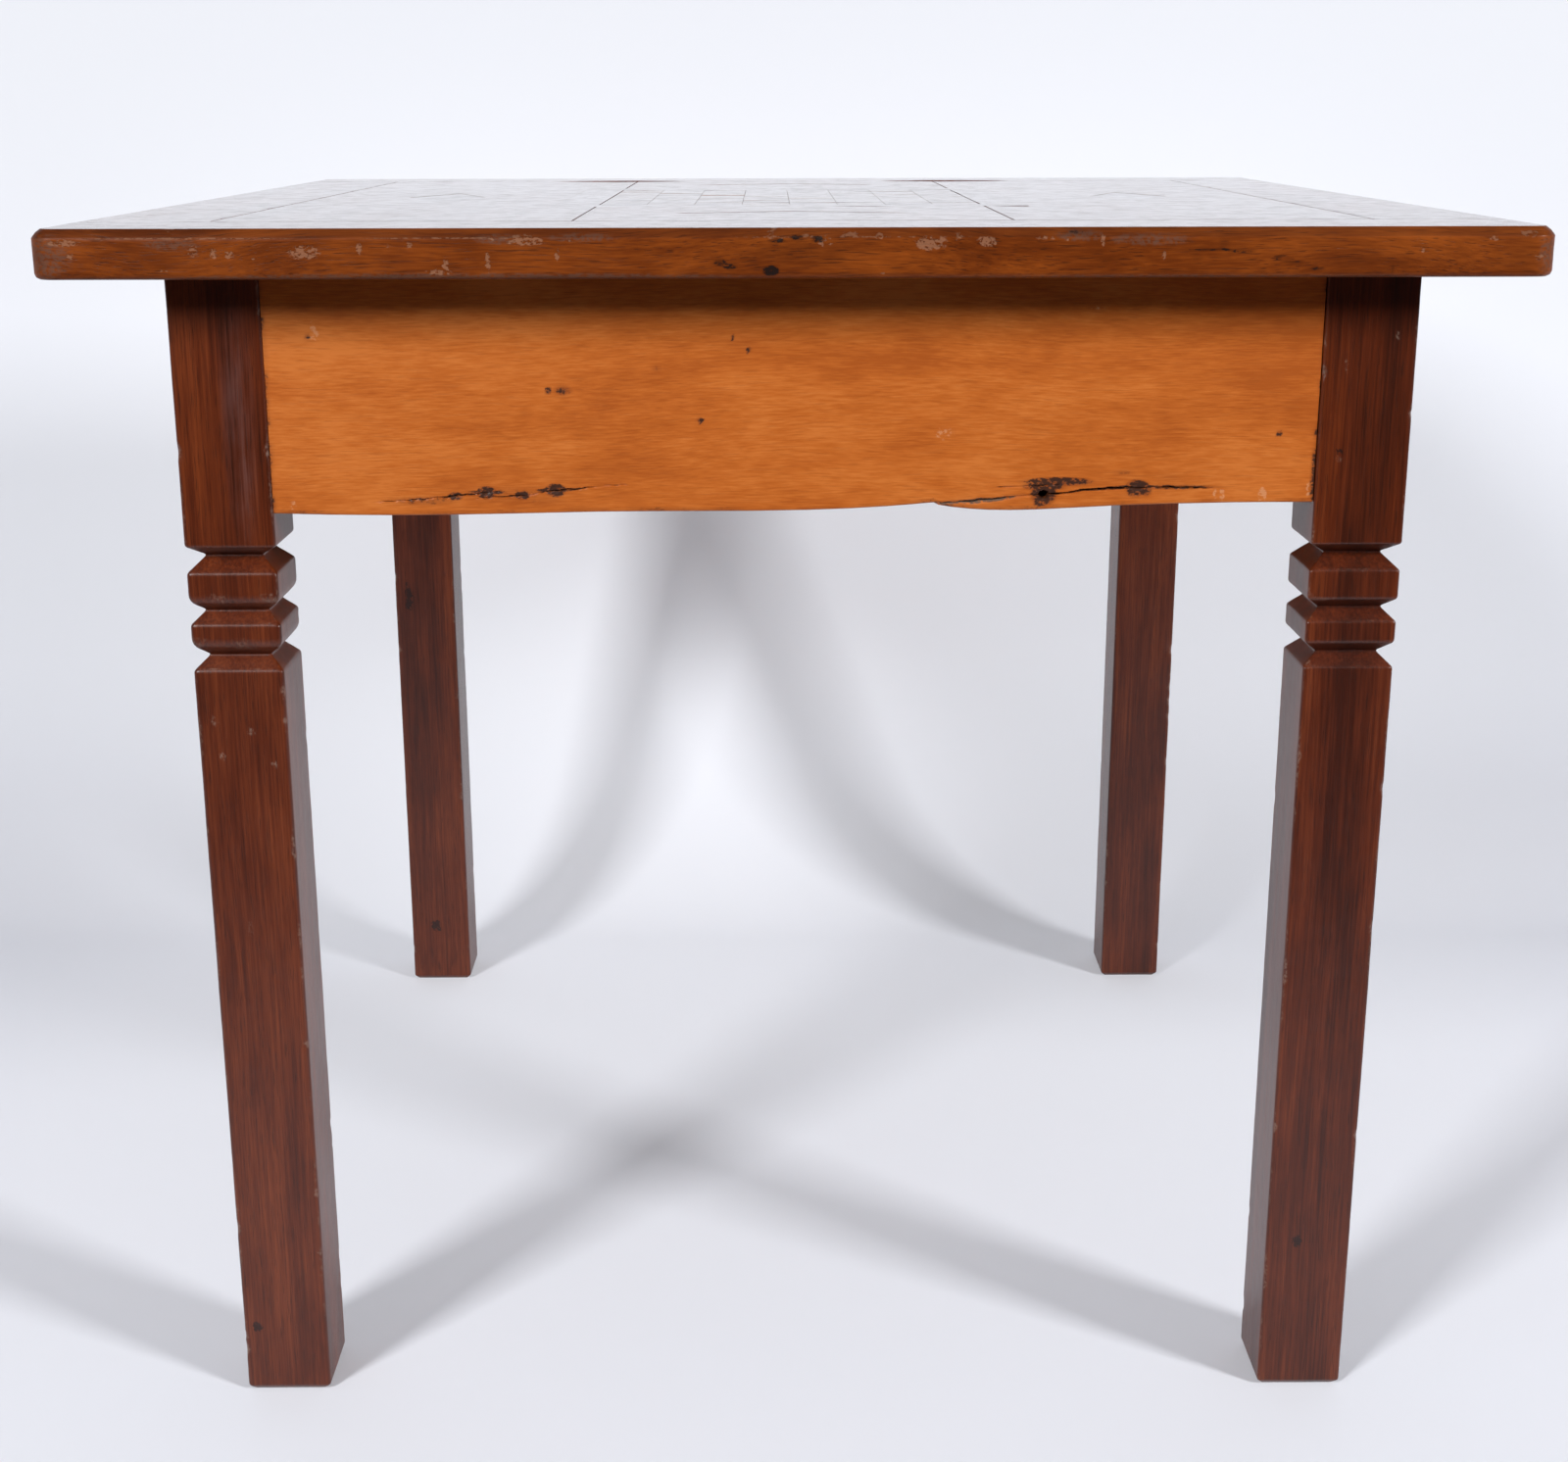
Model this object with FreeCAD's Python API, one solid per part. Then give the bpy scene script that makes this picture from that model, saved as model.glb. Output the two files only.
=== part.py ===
import FreeCAD, Part
import os

# A square games table. A framed plank top, inlaid with a chequered board and four lozenges, is held by
# wooden buttons on a frame of four aprons that are tenoned into square legs with notched collars.
# Millimetres, +Z up, floor at z = 0, origin at the middle of the floor plan, front towards -Y.

# Overall sizes
table_height = 765.0
top_width = 864.0
top_depth = 864.0
top_thickness = 28.0
side_overhang = 65.0
front_overhang = 42.0

# Outer edge of the top
top_corner_radius = 14.0
top_upper_arris = 4.0
top_lower_arris = 3.0

# Border boards of the top, and the tenons that join the side borders to the long ones
border_width = 84.0
border_tenon_length = 40.0
border_tenon_shoulder = 20.0
border_tenon_thickness = 8.0

# Chequered board, its edging strips and the lozenge at each player's side
squares_per_side = 8
square_size = 33.0
edging_width = 30.0
inlay_depth = 4.0
lozenge_length = 150.0
lozenge_width = 56.0

# Loose tongues between the boards, and the fine groove that shows on top along each joint
tongue_width = 24.0
tongue_thickness = 7.0
tongue_cover = 3.0
tongue_end_gap = 4.0
joint_groove_width = 1.6
joint_groove_depth = 1.0

# Legs, with the collar listed from the top of the leg down
leg_size = 55.0
leg_arris = 1.6
foot_chamfer = 4.0
upper_block_height = 161.0
notch_root = 1.2
first_notch_depth = 10.0
first_notch_fall = 6.0
first_notch_rise = 9.3
upper_band_height = 17.5
second_notch_depth = 8.0
second_notch_fall = 5.7
second_notch_rise = 7.5
lower_band_height = 12.8
third_notch_depth = 8.5
third_notch_fall = 6.5
third_notch_rise = 8.1

# Aprons and their haunched tenons
apron_height = 141.0
apron_thickness = 25.0
apron_set_back = 1.5
tenon_thickness = 9.0
tenon_lower_shoulder = 14.0
tenon_upper_shoulder = 24.0
haunch_length = 9.0
tenon_gap = 2.0
mortise_end_gap = 1.0

# Waney lower edge of the front apron: shares of its clear length, and rises as shares of its height
wane_left_shares = [(0.0, 0.0), (0.2, -0.006), (0.32, 0.004), (0.56, 0.016), (0.634, 0.04)]
wane_right_shares = [(0.639, 0.029), (0.655, 0.018), (0.735, 0.008), (0.8, 0.022), (0.87, 0.032), (1.0, 0.036)]

# Buttons that hold the top, and the groove in each apron that they hook into
button_width = 40.0
button_length = 50.0
button_nail_reach = 34.0
button_gap = 2.0
button_slack = 0.4
button_groove_drop = 14.0
button_groove_height = 8.0
button_groove_depth = 8.0
button_tip_gap = 1.5
button_spread_share = 0.25

# Battens under the field boards
batten_width = 50.0
batten_thickness = 22.0
batten_chamfer = 6.0
batten_end_gap = 40.5
batten_button_gap = 18.1
batten_nail_shares = (0.25, 0.75)

# Corner blocks
block_reach = 78.0
block_height = 60.0
block_seat = 16.0
block_pocket_size = 13.0

# Forged square nails
nail_head_size = 9.0
nail_head_height = 2.5
nail_crown_size = 4.0
nail_shank_size = 4.2
nail_tip_size = 1.4
nail_bite = 11.0

# Cuts run this far past the faces that they open, and heights closer than the match count as equal
overrun = 5.0
level_match = 0.001

# Sizes that follow from the ones above
underside = table_height - top_thickness
leg_height = underside
frame_width = top_width - 2 * side_overhang
frame_depth = top_depth - 2 * front_overhang
apron_bottom = underside - apron_height
apron_inner_face = apron_set_back + apron_thickness
tenon_inset = apron_set_back + (apron_thickness - tenon_thickness) / 2
tenon_length = leg_size - tenon_inset - tenon_thickness - tenon_gap
field_half_width = top_width / 2 - border_width
field_half_depth = top_depth / 2 - border_width
board_half = squares_per_side * square_size / 2
edging_half = board_half + edging_width
inlay_floor = table_height - inlay_depth
tongue_top = inlay_floor - tongue_cover
tongue_bottom = tongue_top - tongue_thickness
button_groove_top = underside - button_groove_drop
button_groove_bottom = button_groove_top - button_groove_height
batten_length = frame_width - 2 * (apron_inner_face + batten_end_gap)
side_button_offset = button_spread_share * (frame_depth - 2 * leg_size)
batten_offset = side_button_offset - button_width / 2 - batten_button_gap - batten_width / 2
leg_notches = [
    (first_notch_depth, first_notch_fall, first_notch_rise, upper_band_height),
    (second_notch_depth, second_notch_fall, second_notch_rise, lower_band_height),
    (third_notch_depth, third_notch_fall, third_notch_rise, 0),
]

# Each side: name, turn about Z, frame width along it, frame depth across it, and the field's reach
sides = [
    ("front", 0, frame_width, frame_depth, field_half_depth),
    ("right", 90, frame_depth, frame_width, field_half_width),
    ("rear", 180, frame_width, frame_depth, field_half_depth),
    ("left", 270, frame_depth, frame_width, field_half_width),
]
corners = [("front_left", -1, -1), ("front_right", 1, -1), ("rear_right", 1, 1), ("rear_left", -1, 1)]

Vector = FreeCAD.Vector
origin = Vector(0, 0, 0)
up = Vector(0, 0, 1)
nodes = {}


# Basic solids
def box(x_low, x_high, y_low, y_high, z_low, z_high):
    return Part.makeBox(x_high - x_low, y_high - y_low, z_high - z_low, Vector(x_low, y_low, z_low))


def prism(points, along):
    wire = Part.makePolygon(points + points[:1])
    return Part.Face(wire).extrude(along)


def turned(shape, angle):
    copy = shape.copy()
    copy.rotate(origin, up, angle)
    return copy


def level_edges(shape, height):
    return [edge for edge in shape.Edges
            if abs(edge.BoundBox.ZMin - height) < level_match and abs(edge.BoundBox.ZMax - height) < level_match]


def upright_edges(shape):
    return [edge for edge in shape.Edges if edge.BoundBox.ZLength > level_match]


def middle_plate(width, depth, z_low, z_high):
    return box(-width / 2, width / 2, -depth / 2, depth / 2, z_low, z_high)


def on_side(shape, angle, depth):
    """Moves a shape made against the plane y = 0, with the table behind it, to one side of the frame."""
    moved = shape.copy()
    moved.translate(Vector(0, -depth / 2, 0))
    return turned(moved, angle)


# Forged nails
def tapered_bar(low_size, high_size, z_low, z_high):
    """A square bar along Z whose section changes evenly from one size to the other."""
    low = low_size / 2
    high = high_size / 2
    bar = Part.makeWedge(-low, z_low, -low, -high, -high, low, z_high, low, high, high)
    bar.rotate(origin, Vector(1, 0, 0), 90)
    return bar


def nail(length):
    """A nail driven along +Z, with the underside of its head at the origin."""
    head = tapered_bar(nail_crown_size, nail_head_size, -nail_head_height, 0)
    shank = tapered_bar(nail_shank_size, nail_tip_size, 0, length)
    return head.fuse(shank).removeSplitter()


def placed(shape, seat, direction):
    copy = shape.copy()
    copy.Placement = FreeCAD.Placement(seat, FreeCAD.Rotation(up, direction))
    return copy


# Legs
def leg_outline():
    """Inset from the full section, and height, from the top of the leg down to the floor."""
    outline = [(0, leg_height)]
    height = leg_height - upper_block_height
    for depth, fall, rise, band in leg_notches:
        outline.append((0, height))
        outline.append((depth, height - fall))
        outline.append((depth, height - fall - notch_root))
        outline.append((0, height - fall - notch_root - rise))
        height -= fall + notch_root + rise + band
    outline.append((0, foot_chamfer))
    outline.append((foot_chamfer, 0))
    return outline


def leg_blank():
    """The outline sawn right through from two faces, which leaves mitred notches on all four."""
    half = leg_size / 2
    outline = leg_outline()
    right = [Vector(half - inset, -half, height) for inset, height in outline]
    left = [Vector(inset - half, -half, height) for inset, height in reversed(outline)]
    sawn = prism(right + left, Vector(0, leg_size, 0))
    square = middle_plate(leg_size, leg_size, 0, leg_height)
    eased = square.makeChamfer(leg_arris, upright_edges(square))
    return sawn.common(turned(sawn, 90)).common(eased)


# Aprons
def apron_tenons(clear, end_gap):
    """Both tenons of an apron, with their haunches; the end gap lengthens them into mortises."""
    y_low = tenon_inset
    y_high = tenon_inset + tenon_thickness
    tenons = []
    for end in (-1, 1):
        tip = end * (clear / 2 + tenon_length + end_gap)
        haunch_tip = end * (clear / 2 + haunch_length + end_gap)
        shoulder = end * clear / 2
        tenons.append(box(min(shoulder, tip), max(shoulder, tip), y_low, y_high,
                          apron_bottom + tenon_lower_shoulder, underside - tenon_upper_shoulder))
        tenons.append(box(min(shoulder, haunch_tip), max(shoulder, haunch_tip), y_low, y_high,
                          underside - tenon_upper_shoulder, underside))
    return tenons


def wane_curve(shares, clear):
    points = [Vector((along - 1 / 2) * clear, apron_set_back, apron_bottom + rise * apron_height)
              for along, rise in shares]
    curve = Part.BSplineCurve()
    curve.interpolate(points)
    return curve.toShape(), points[0], points[-1]


def waney_board(clear):
    """Front apron: the lower edge follows the tree, with a broken-out step to the right of the middle."""
    left_curve, left_start, left_end = wane_curve(wane_left_shares, clear)
    right_curve, right_start, right_end = wane_curve(wane_right_shares, clear)
    top_left = Vector(left_start.x, apron_set_back, underside)
    top_right = Vector(right_end.x, apron_set_back, underside)
    corners_in_turn = [right_end, top_right, top_left, left_start]
    lines = [Part.makeLine(a, b) for a, b in zip(corners_in_turn, corners_in_turn[1:])]
    wire = Part.Wire([left_curve, Part.makeLine(left_end, right_start), right_curve] + lines)
    return Part.Face(wire).extrude(Vector(0, apron_thickness, 0))


def apron(name, clear):
    if name == "front":
        board = waney_board(clear)
    else:
        board = box(-clear / 2, clear / 2, apron_set_back, apron_inner_face, apron_bottom, underside)
    groove = box(-clear / 2, clear / 2, apron_inner_face - button_groove_depth, apron_inner_face,
                 button_groove_bottom, button_groove_top)
    return board.cut(groove).fuse(apron_tenons(clear, 0)).removeSplitter()


# Buttons and battens
def button(offset):
    """A block against the top's underside, with a tongue that hooks under the apron's groove."""
    tip = apron_inner_face - button_groove_depth + button_tip_gap
    shoulder = apron_inner_face + button_gap
    heel = apron_inner_face + button_length
    lower = button_groove_bottom + button_slack
    profile = [(tip, lower), (heel, lower), (heel, underside), (shoulder, underside),
               (shoulder, button_groove_top), (tip, button_groove_top)]
    start = offset - button_width / 2
    return prism([Vector(start, y, z) for y, z in profile], Vector(button_width, 0, 0))


def batten(y_middle):
    half = batten_width / 2
    bottom = underside - batten_thickness
    profile = [(-half, underside), (half, underside), (half, bottom + batten_chamfer),
               (half - batten_chamfer, bottom), (batten_chamfer - half, bottom), (-half, bottom + batten_chamfer)]
    points = [Vector(-batten_length / 2, y_middle + y, z) for y, z in profile]
    return prism(points, Vector(batten_length, 0, 0))


# Corner blocks
def corner_block(x_sign, y_sign):
    """A bevelled block that fills the corner between two aprons and is notched round the leg."""
    leg_proud = leg_size - apron_inner_face
    bottom = underside - block_height
    plan = [(leg_proud, 0), (block_reach, 0), (0, block_reach), (0, leg_proud), (leg_proud, leg_proud)]
    x_wall = x_sign * (frame_width / 2 - apron_inner_face)
    y_wall = y_sign * (frame_depth / 2 - apron_inner_face)
    points = [Vector(x_wall - x_sign * across, y_wall - y_sign * along, bottom) for across, along in plan]
    return prism(points, Vector(0, 0, block_height))


def block_nail_seats(x_sign, y_sign):
    """Where the two nails of a corner block sit, and which way they are driven."""
    middle = (leg_size - apron_inner_face + block_reach) / 2
    height = underside - block_height / 2
    x_wall = x_sign * (frame_width / 2 - apron_inner_face)
    y_wall = y_sign * (frame_depth / 2 - apron_inner_face)
    into_side = (Vector(x_wall - x_sign * block_seat, y_wall - y_sign * middle, height), Vector(x_sign, 0, 0))
    into_long = (Vector(x_wall - x_sign * middle, y_wall - y_sign * block_seat, height), Vector(0, y_sign, 0))
    return [into_side, into_long]


# Top: one blank with its eased edge, which is then cut into boards
def top_blank():
    plate = middle_plate(top_width, top_depth, underside, table_height)
    plate = plate.makeFillet(top_corner_radius, upright_edges(plate))
    plate = plate.makeFillet(top_upper_arris, level_edges(plate, table_height))
    return plate.makeFillet(top_lower_arris, level_edges(plate, underside))


def border_tenons(x_sign):
    """The tenons on both ends of one side border."""
    middle = (underside + table_height) / 2
    outer = x_sign * (top_width / 2 - border_tenon_shoulder)
    inner = x_sign * (field_half_width + border_tenon_shoulder)
    tenons = []
    for y_sign in (-1, 1):
        root = y_sign * field_half_depth
        tip = y_sign * (field_half_depth + border_tenon_length)
        tenons.append(box(min(inner, outer), max(inner, outer), min(root, tip), max(root, tip),
                          middle - border_tenon_thickness / 2, middle + border_tenon_thickness / 2))
    return tenons


def cut_into_boards(blank):
    half_width = top_width / 2
    half_depth = top_depth / 2

    def piece(x_low, x_high, y_low, y_high):
        return blank.common(box(x_low, x_high, y_low, y_high, underside, table_height))

    side_left = piece(-half_width, -field_half_width, -field_half_depth, field_half_depth)
    side_right = piece(field_half_width, half_width, -field_half_depth, field_half_depth)
    mortises = border_tenons(-1) + border_tenons(1)
    return {
        "top_border_front": piece(-half_width, half_width, -half_depth, -field_half_depth).cut(mortises),
        "top_border_rear": piece(-half_width, half_width, field_half_depth, half_depth).cut(mortises),
        "top_border_left": side_left.fuse(border_tenons(-1)).removeSplitter(),
        "top_border_right": side_right.fuse(border_tenons(1)).removeSplitter(),
        "field_board_left": piece(-field_half_width, -board_half, -field_half_depth, field_half_depth),
        "field_board_middle": piece(-board_half, board_half, -field_half_depth, field_half_depth),
        "field_board_right": piece(board_half, field_half_width, -field_half_depth, field_half_depth),
    }


def loose_tongues():
    """Tongues that bridge every joint of the top; the same solids cut their grooves."""
    half = tongue_width / 2
    x_near = field_half_width - half
    y_near = field_half_depth - half
    x_end = x_near - tongue_end_gap
    y_end = y_near - tongue_end_gap

    def tongue(x_low, x_high, y_low, y_high):
        return box(x_low, x_high, y_low, y_high, tongue_bottom, tongue_top)

    return {
        "top_tongue_front": tongue(-x_end, x_end, -field_half_depth - half, -y_near),
        "top_tongue_rear": tongue(-x_end, x_end, y_near, field_half_depth + half),
        "top_tongue_left": tongue(-field_half_width - half, -x_near, -y_end, y_end),
        "top_tongue_right": tongue(x_near, field_half_width + half, -y_end, y_end),
        "top_tongue_middle_left": tongue(-board_half - half, half - board_half, -y_end, y_end),
        "top_tongue_middle_right": tongue(board_half - half, board_half + half, -y_end, y_end),
    }


def joint_groove(start, end):
    """A V along one joint of the top, with its mouth at the surface."""
    along = end - start
    across = Vector(-along.y, along.x, 0).normalize()
    mouth = joint_groove_width / 2 * (joint_groove_depth + overrun) / joint_groove_depth
    root = Vector(start.x, start.y, table_height - joint_groove_depth)
    rim = Vector(start.x, start.y, table_height + overrun)
    return prism([root, rim + across * mouth, rim - across * mouth], along)


def joint_grooves():
    x_edge = top_width / 2 + overrun
    grooves = []
    for sign in (-1, 1):
        y_joint = sign * field_half_depth
        grooves.append(joint_groove(Vector(-x_edge, y_joint, 0), Vector(x_edge, y_joint, 0)))
        for x_joint in (sign * board_half, sign * field_half_width):
            grooves.append(joint_groove(Vector(x_joint, -field_half_depth, 0), Vector(x_joint, field_half_depth, 0)))
    return grooves


# Inlay
def chequers():
    """Two groups of squares, told apart by whether column and row add up to an odd or an even number."""
    groups = ([], [])
    for column in range(squares_per_side):
        for row in range(squares_per_side):
            x_low = column * square_size - board_half
            y_low = row * square_size - board_half
            square = box(x_low, x_low + square_size, y_low, y_low + square_size, inlay_floor, table_height)
            groups[(column + row) % 2].append(square)
    return groups


def edging_strip(angle):
    plan = [(-edging_half, -edging_half), (edging_half, -edging_half),
            (board_half, -board_half), (-board_half, -board_half)]
    strip = prism([Vector(x, y, inlay_floor) for x, y in plan], Vector(0, 0, inlay_depth))
    return turned(strip, angle)


def lozenge(angle, field_half):
    middle = -(edging_half + field_half) / 2
    plan = [(-lozenge_length / 2, middle), (0, middle - lozenge_width / 2),
            (lozenge_length / 2, middle), (0, middle + lozenge_width / 2)]
    inlay = prism([Vector(x, y, inlay_floor) for x, y in plan], Vector(0, 0, inlay_depth))
    return turned(inlay, angle)


# Frame: aprons first, then the legs that their tenons enter
button_nail = nail(underside - button_groove_bottom - button_slack + nail_bite)
block_nail = nail(block_seat + nail_bite)
batten_nail = nail(batten_thickness + nail_bite)
block_pocket = middle_plate(block_pocket_size, block_pocket_size, -block_reach, 0)
mortises = []
button_nails = []
block_nails = []
block_pockets = []

for name, x_sign, y_sign in corners:
    for seat, direction in block_nail_seats(x_sign, y_sign):
        block_nails.append(placed(block_nail, seat, direction))
        block_pockets.append(placed(block_pocket, seat, direction))

for name, angle, width, depth, field_half in sides:
    clear = width - leg_size * 2
    nodes["apron_" + name] = on_side(apron(name, clear), angle, depth).cut(block_nails)
    mortises += [on_side(tenon, angle, depth) for tenon in apron_tenons(clear, mortise_end_gap)]
    for hand, spread in (("a", -button_spread_share), ("b", button_spread_share)):
        offset = spread * clear
        seat = Vector(offset, apron_inner_face + button_nail_reach, button_groove_bottom + button_slack)
        driven = placed(button_nail, seat, up)
        nodes["top_button_%s_%s" % (name, hand)] = on_side(button(offset).cut(driven), angle, depth)
        button_nails.append(on_side(driven, angle, depth))

blank_leg = leg_blank()
for name, x_sign, y_sign in corners:
    leg = blank_leg.copy()
    leg.translate(Vector(x_sign * (frame_width - leg_size) / 2, y_sign * (frame_depth - leg_size) / 2, 0))
    nodes["leg_" + name] = leg.cut(mortises)
    nodes["corner_block_" + name] = corner_block(x_sign, y_sign).cut(block_nails + block_pockets)

# Battens, with two nails into each field board
batten_nails = []
nail_columns = [-board_half / 2, board_half / 2]
for share in batten_nail_shares:
    column = board_half + share * (batten_length / 2 - board_half)
    nail_columns += [-column, column]
for name, sign in (("front", -1), ("rear", 1)):
    y_middle = sign * batten_offset
    seats = [Vector(x, y_middle, underside - batten_thickness) for x in nail_columns]
    driven = [placed(batten_nail, seat, up) for seat in seats]
    nodes["batten_" + name] = batten(y_middle).cut(driven)
    batten_nails += driven

# Top, cut for its tongues, inlay and nails
grooves = joint_grooves()
tongues = loose_tongues()
even_squares, odd_squares = chequers()
inlay = {
    "board_squares_dark": Part.makeCompound(even_squares),
    "board_squares_light": Part.makeCompound(odd_squares),
}
for name, angle, width, depth, field_half in sides:
    inlay["board_edging_" + name] = edging_strip(angle)
    inlay["lozenge_inlay_" + name] = lozenge(angle, field_half)
board_recess = box(-edging_half, edging_half, -edging_half, edging_half, inlay_floor, table_height)
recesses = [board_recess] + [shape for name, shape in inlay.items() if name.startswith("lozenge")]

for name, board in cut_into_boards(top_blank()).items():
    tools = list(tongues.values()) + recesses + grooves + batten_nails + button_nails
    nodes[name] = board.cut(tools)
for name, piece in inlay.items():
    nodes[name] = piece.cut(grooves)
nodes.update(tongues)

# Nails, one group for each use
nodes["button_nails"] = Part.makeCompound(button_nails)
nodes["block_nails"] = Part.makeCompound(block_nails)
nodes["batten_nails"] = Part.makeCompound(batten_nails)

# One file for each node
os.makedirs("parts", exist_ok=True)
for name, shape in sorted(nodes.items()):
    shape.exportStep("parts/%s.step" % name)
    print("%-24s %2d solid(s) %9.1f cm3 %s" % (
        name, len(shape.Solids), shape.Volume / 1000, "valid" if shape.isValid() else "NOT VALID"))
whole = Part.makeCompound(list(nodes.values())).BoundBox
print("nodes %d, size %.1f x %.1f x %.1f" % (len(nodes), whole.XLength, whole.YLength, whole.ZLength))
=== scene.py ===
# %% [markdown]
# An old games table in two woods: dark legs with a notched collar, a honey-coloured apron with a
# waney lower edge, and a worn, glossy top with a chequered board let into it.
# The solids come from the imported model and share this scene's frame: metres, +Z up, floor at z = 0,
# front towards -Y. What they can't show is made here: grain, knots, cracks, wear and light.

# %% Load the solids
import math
import random

import bmesh
import bpy
from mathutils import Matrix, Vector, noise


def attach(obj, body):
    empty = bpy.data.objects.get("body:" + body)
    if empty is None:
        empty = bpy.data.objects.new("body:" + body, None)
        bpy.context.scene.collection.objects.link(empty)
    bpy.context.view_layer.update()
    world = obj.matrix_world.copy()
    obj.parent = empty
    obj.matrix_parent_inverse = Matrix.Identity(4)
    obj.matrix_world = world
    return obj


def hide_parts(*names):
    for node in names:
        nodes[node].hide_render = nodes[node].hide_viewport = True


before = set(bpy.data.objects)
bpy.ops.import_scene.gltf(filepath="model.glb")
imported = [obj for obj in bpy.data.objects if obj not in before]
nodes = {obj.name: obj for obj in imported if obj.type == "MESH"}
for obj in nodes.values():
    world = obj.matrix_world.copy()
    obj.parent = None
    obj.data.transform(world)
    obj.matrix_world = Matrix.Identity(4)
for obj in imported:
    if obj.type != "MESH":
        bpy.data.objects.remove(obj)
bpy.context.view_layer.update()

# %% [markdown]
# The camera stands a little above the table top, so the top is seen almost edge on. It could be set by
# eye; here its place, tilt and lens were solved from the corners of legs and top, so that every corner
# falls where it should. The length of the lens goes with a sensor 36 mm wide.

# %% Camera
scene = bpy.context.scene
camera_data = bpy.data.cameras.new("table_camera")
camera_data.sensor_width = 36.0
camera_data.lens = 50.63
camera = bpy.data.objects.new("table_camera", camera_data)
scene.collection.objects.link(camera)
tilt_down = math.radians(15.875)
turn_right = math.radians(0.359)
lean = math.radians(0.103)
camera_place = (-0.0145, -1.6981, 0.8319)
camera.matrix_world = (Matrix.Translation(camera_place) @ Matrix.Rotation(-turn_right, 4, "Z")
                       @ Matrix.Rotation(math.pi / 2 - tilt_down, 4, "X") @ Matrix.Rotation(-lean, 4, "Z"))
scene.camera = camera
scene.view_settings.view_transform = "Standard"
print("camera at", [round(v, 3) for v in camera.matrix_world.translation])

# %% [markdown]
# Shader maths reads best as plain sums; set out node by node, it would fill pages. A Strand is one socket
# of a material, and Python's operators on it add Math nodes. A Bench is the node tree of one material, and
# its one method adds any other node.

# %% A bench for materials
class Strand:
    def __init__(self, bench, socket):
        self.bench = bench
        self.socket = socket

    def maths(self, operation, first, second):
        return self.bench.node("ShaderNodeMath", {"operation": operation}, {0: first, 1: second})

    def __add__(self, other):
        return self.maths("ADD", self, other)

    def __radd__(self, other):
        return self.maths("ADD", other, self)

    def __sub__(self, other):
        return self.maths("SUBTRACT", self, other)

    def __rsub__(self, other):
        return self.maths("SUBTRACT", other, self)

    def __mul__(self, other):
        return self.maths("MULTIPLY", self, other)

    def __rmul__(self, other):
        return self.maths("MULTIPLY", other, self)

    def at_most(self, other):
        return self.maths("MINIMUM", self, other)

    def at_least(self, other):
        return self.maths("MAXIMUM", self, other)


class Bench:
    def __init__(self, owner):
        owner.use_nodes = True
        self.owner = owner
        self.tree = owner.node_tree
        self.tree.nodes.clear()

    def node(self, kind, settings=None, sockets=None, output=0):
        made = self.tree.nodes.new(kind)
        for name, value in (settings or {}).items():
            if name == "stops":
                ramp = made.color_ramp
                while len(ramp.elements) < len(value):
                    ramp.elements.new(1.0)
                for element, (place, colour) in zip(ramp.elements, value):
                    element.position = place
                    element.color = (*colour, 1.0)
            else:
                setattr(made, name, value)
        for key, value in (sockets or {}).items():
            socket = made.inputs[key]
            if isinstance(value, Strand):
                self.tree.links.new(value.socket, socket)
            elif socket.type == "RGBA" and len(value) == 3:
                socket.default_value = (*value, 1.0)
            else:
                socket.default_value = value
        return Strand(self, made.outputs[output]) if made.outputs else None


print("bench ready")

# %% [markdown]
# The same few moves come back in every wood: a noise stretched along the grain, a soft step from one
# level to another, a blend of two colours, and coordinates with the grain along their first number. As
# functions they are written once and read alike in every finish.

# %% Small moves for wood
def cloud(place, scale, detail=2.0, rough=0.5):
    return place.bench.node("ShaderNodeTexNoise", None,
                            {"Vector": place, "Scale": scale, "Detail": detail, "Roughness": rough})


def soft_step(value, low, high):
    return value.bench.node("ShaderNodeMapRange", {"interpolation_type": "SMOOTHSTEP"},
                            {"Value": value, "From Min": low, "From Max": high, "To Min": 0.0, "To Max": 1.0})


def blend(share, first, second, kind="MIX"):
    settings = {"data_type": "RGBA", "blend_type": kind, "clamp_factor": True}
    return share.bench.node("ShaderNodeMix", settings, {0: share, 6: first, 7: second}, 2)


def colour_ramp(value, places, colours):
    return value.bench.node("ShaderNodeValToRGB", {"stops": list(zip(places, colours))}, {0: value})


def stretched(place, factors):
    return place.bench.node("ShaderNodeVectorMath", {"operation": "MULTIPLY"}, {0: place, 1: factors})


def shifted(place, offset):
    return place.bench.node("ShaderNodeVectorMath", {"operation": "ADD"}, {0: place, 1: offset})


def parts_of(place):
    return [place.bench.node("ShaderNodeSeparateXYZ", None, {0: place}, i) for i in range(3)]


def vector_of(bench, x, y, z):
    return bench.node("ShaderNodeCombineXYZ", None, {0: x, 1: y, 2: z})


def object_place(bench):
    return bench.node("ShaderNodeTexCoord", None, None, "Object")


def ray_kinds(bench):
    return [bench.node("ShaderNodeLightPath", None, None, f"Is {kind} Ray")
            for kind in ("Camera", "Glossy", "Transmission")]


grain_order = {"x": (0, 1, 2), "y": (1, 0, 2), "z": (2, 1, 0)}
seed_steps = (1.37, 0.71, 0.43)


def grain_place(bench, axis, seed):
    """Object coordinates with the grain along the first number, moved to a stretch of wood of its own."""
    place = object_place(bench)
    if axis != "x":
        numbers = parts_of(place)
        place = vector_of(bench, *[numbers[i] for i in grain_order[axis]])
    return shifted(place, [seed * step for step in seed_steps])


print("grain runs along", sorted(grain_order))

# %% [markdown]
# The table stands on a roll of pale paper, which bends up close behind it and leans back from there; so
# the shadows of the rear legs bend upwards and draw together. A floor and a wall would meet in a line, so
# one sheet with a curved fold is made instead.

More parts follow.
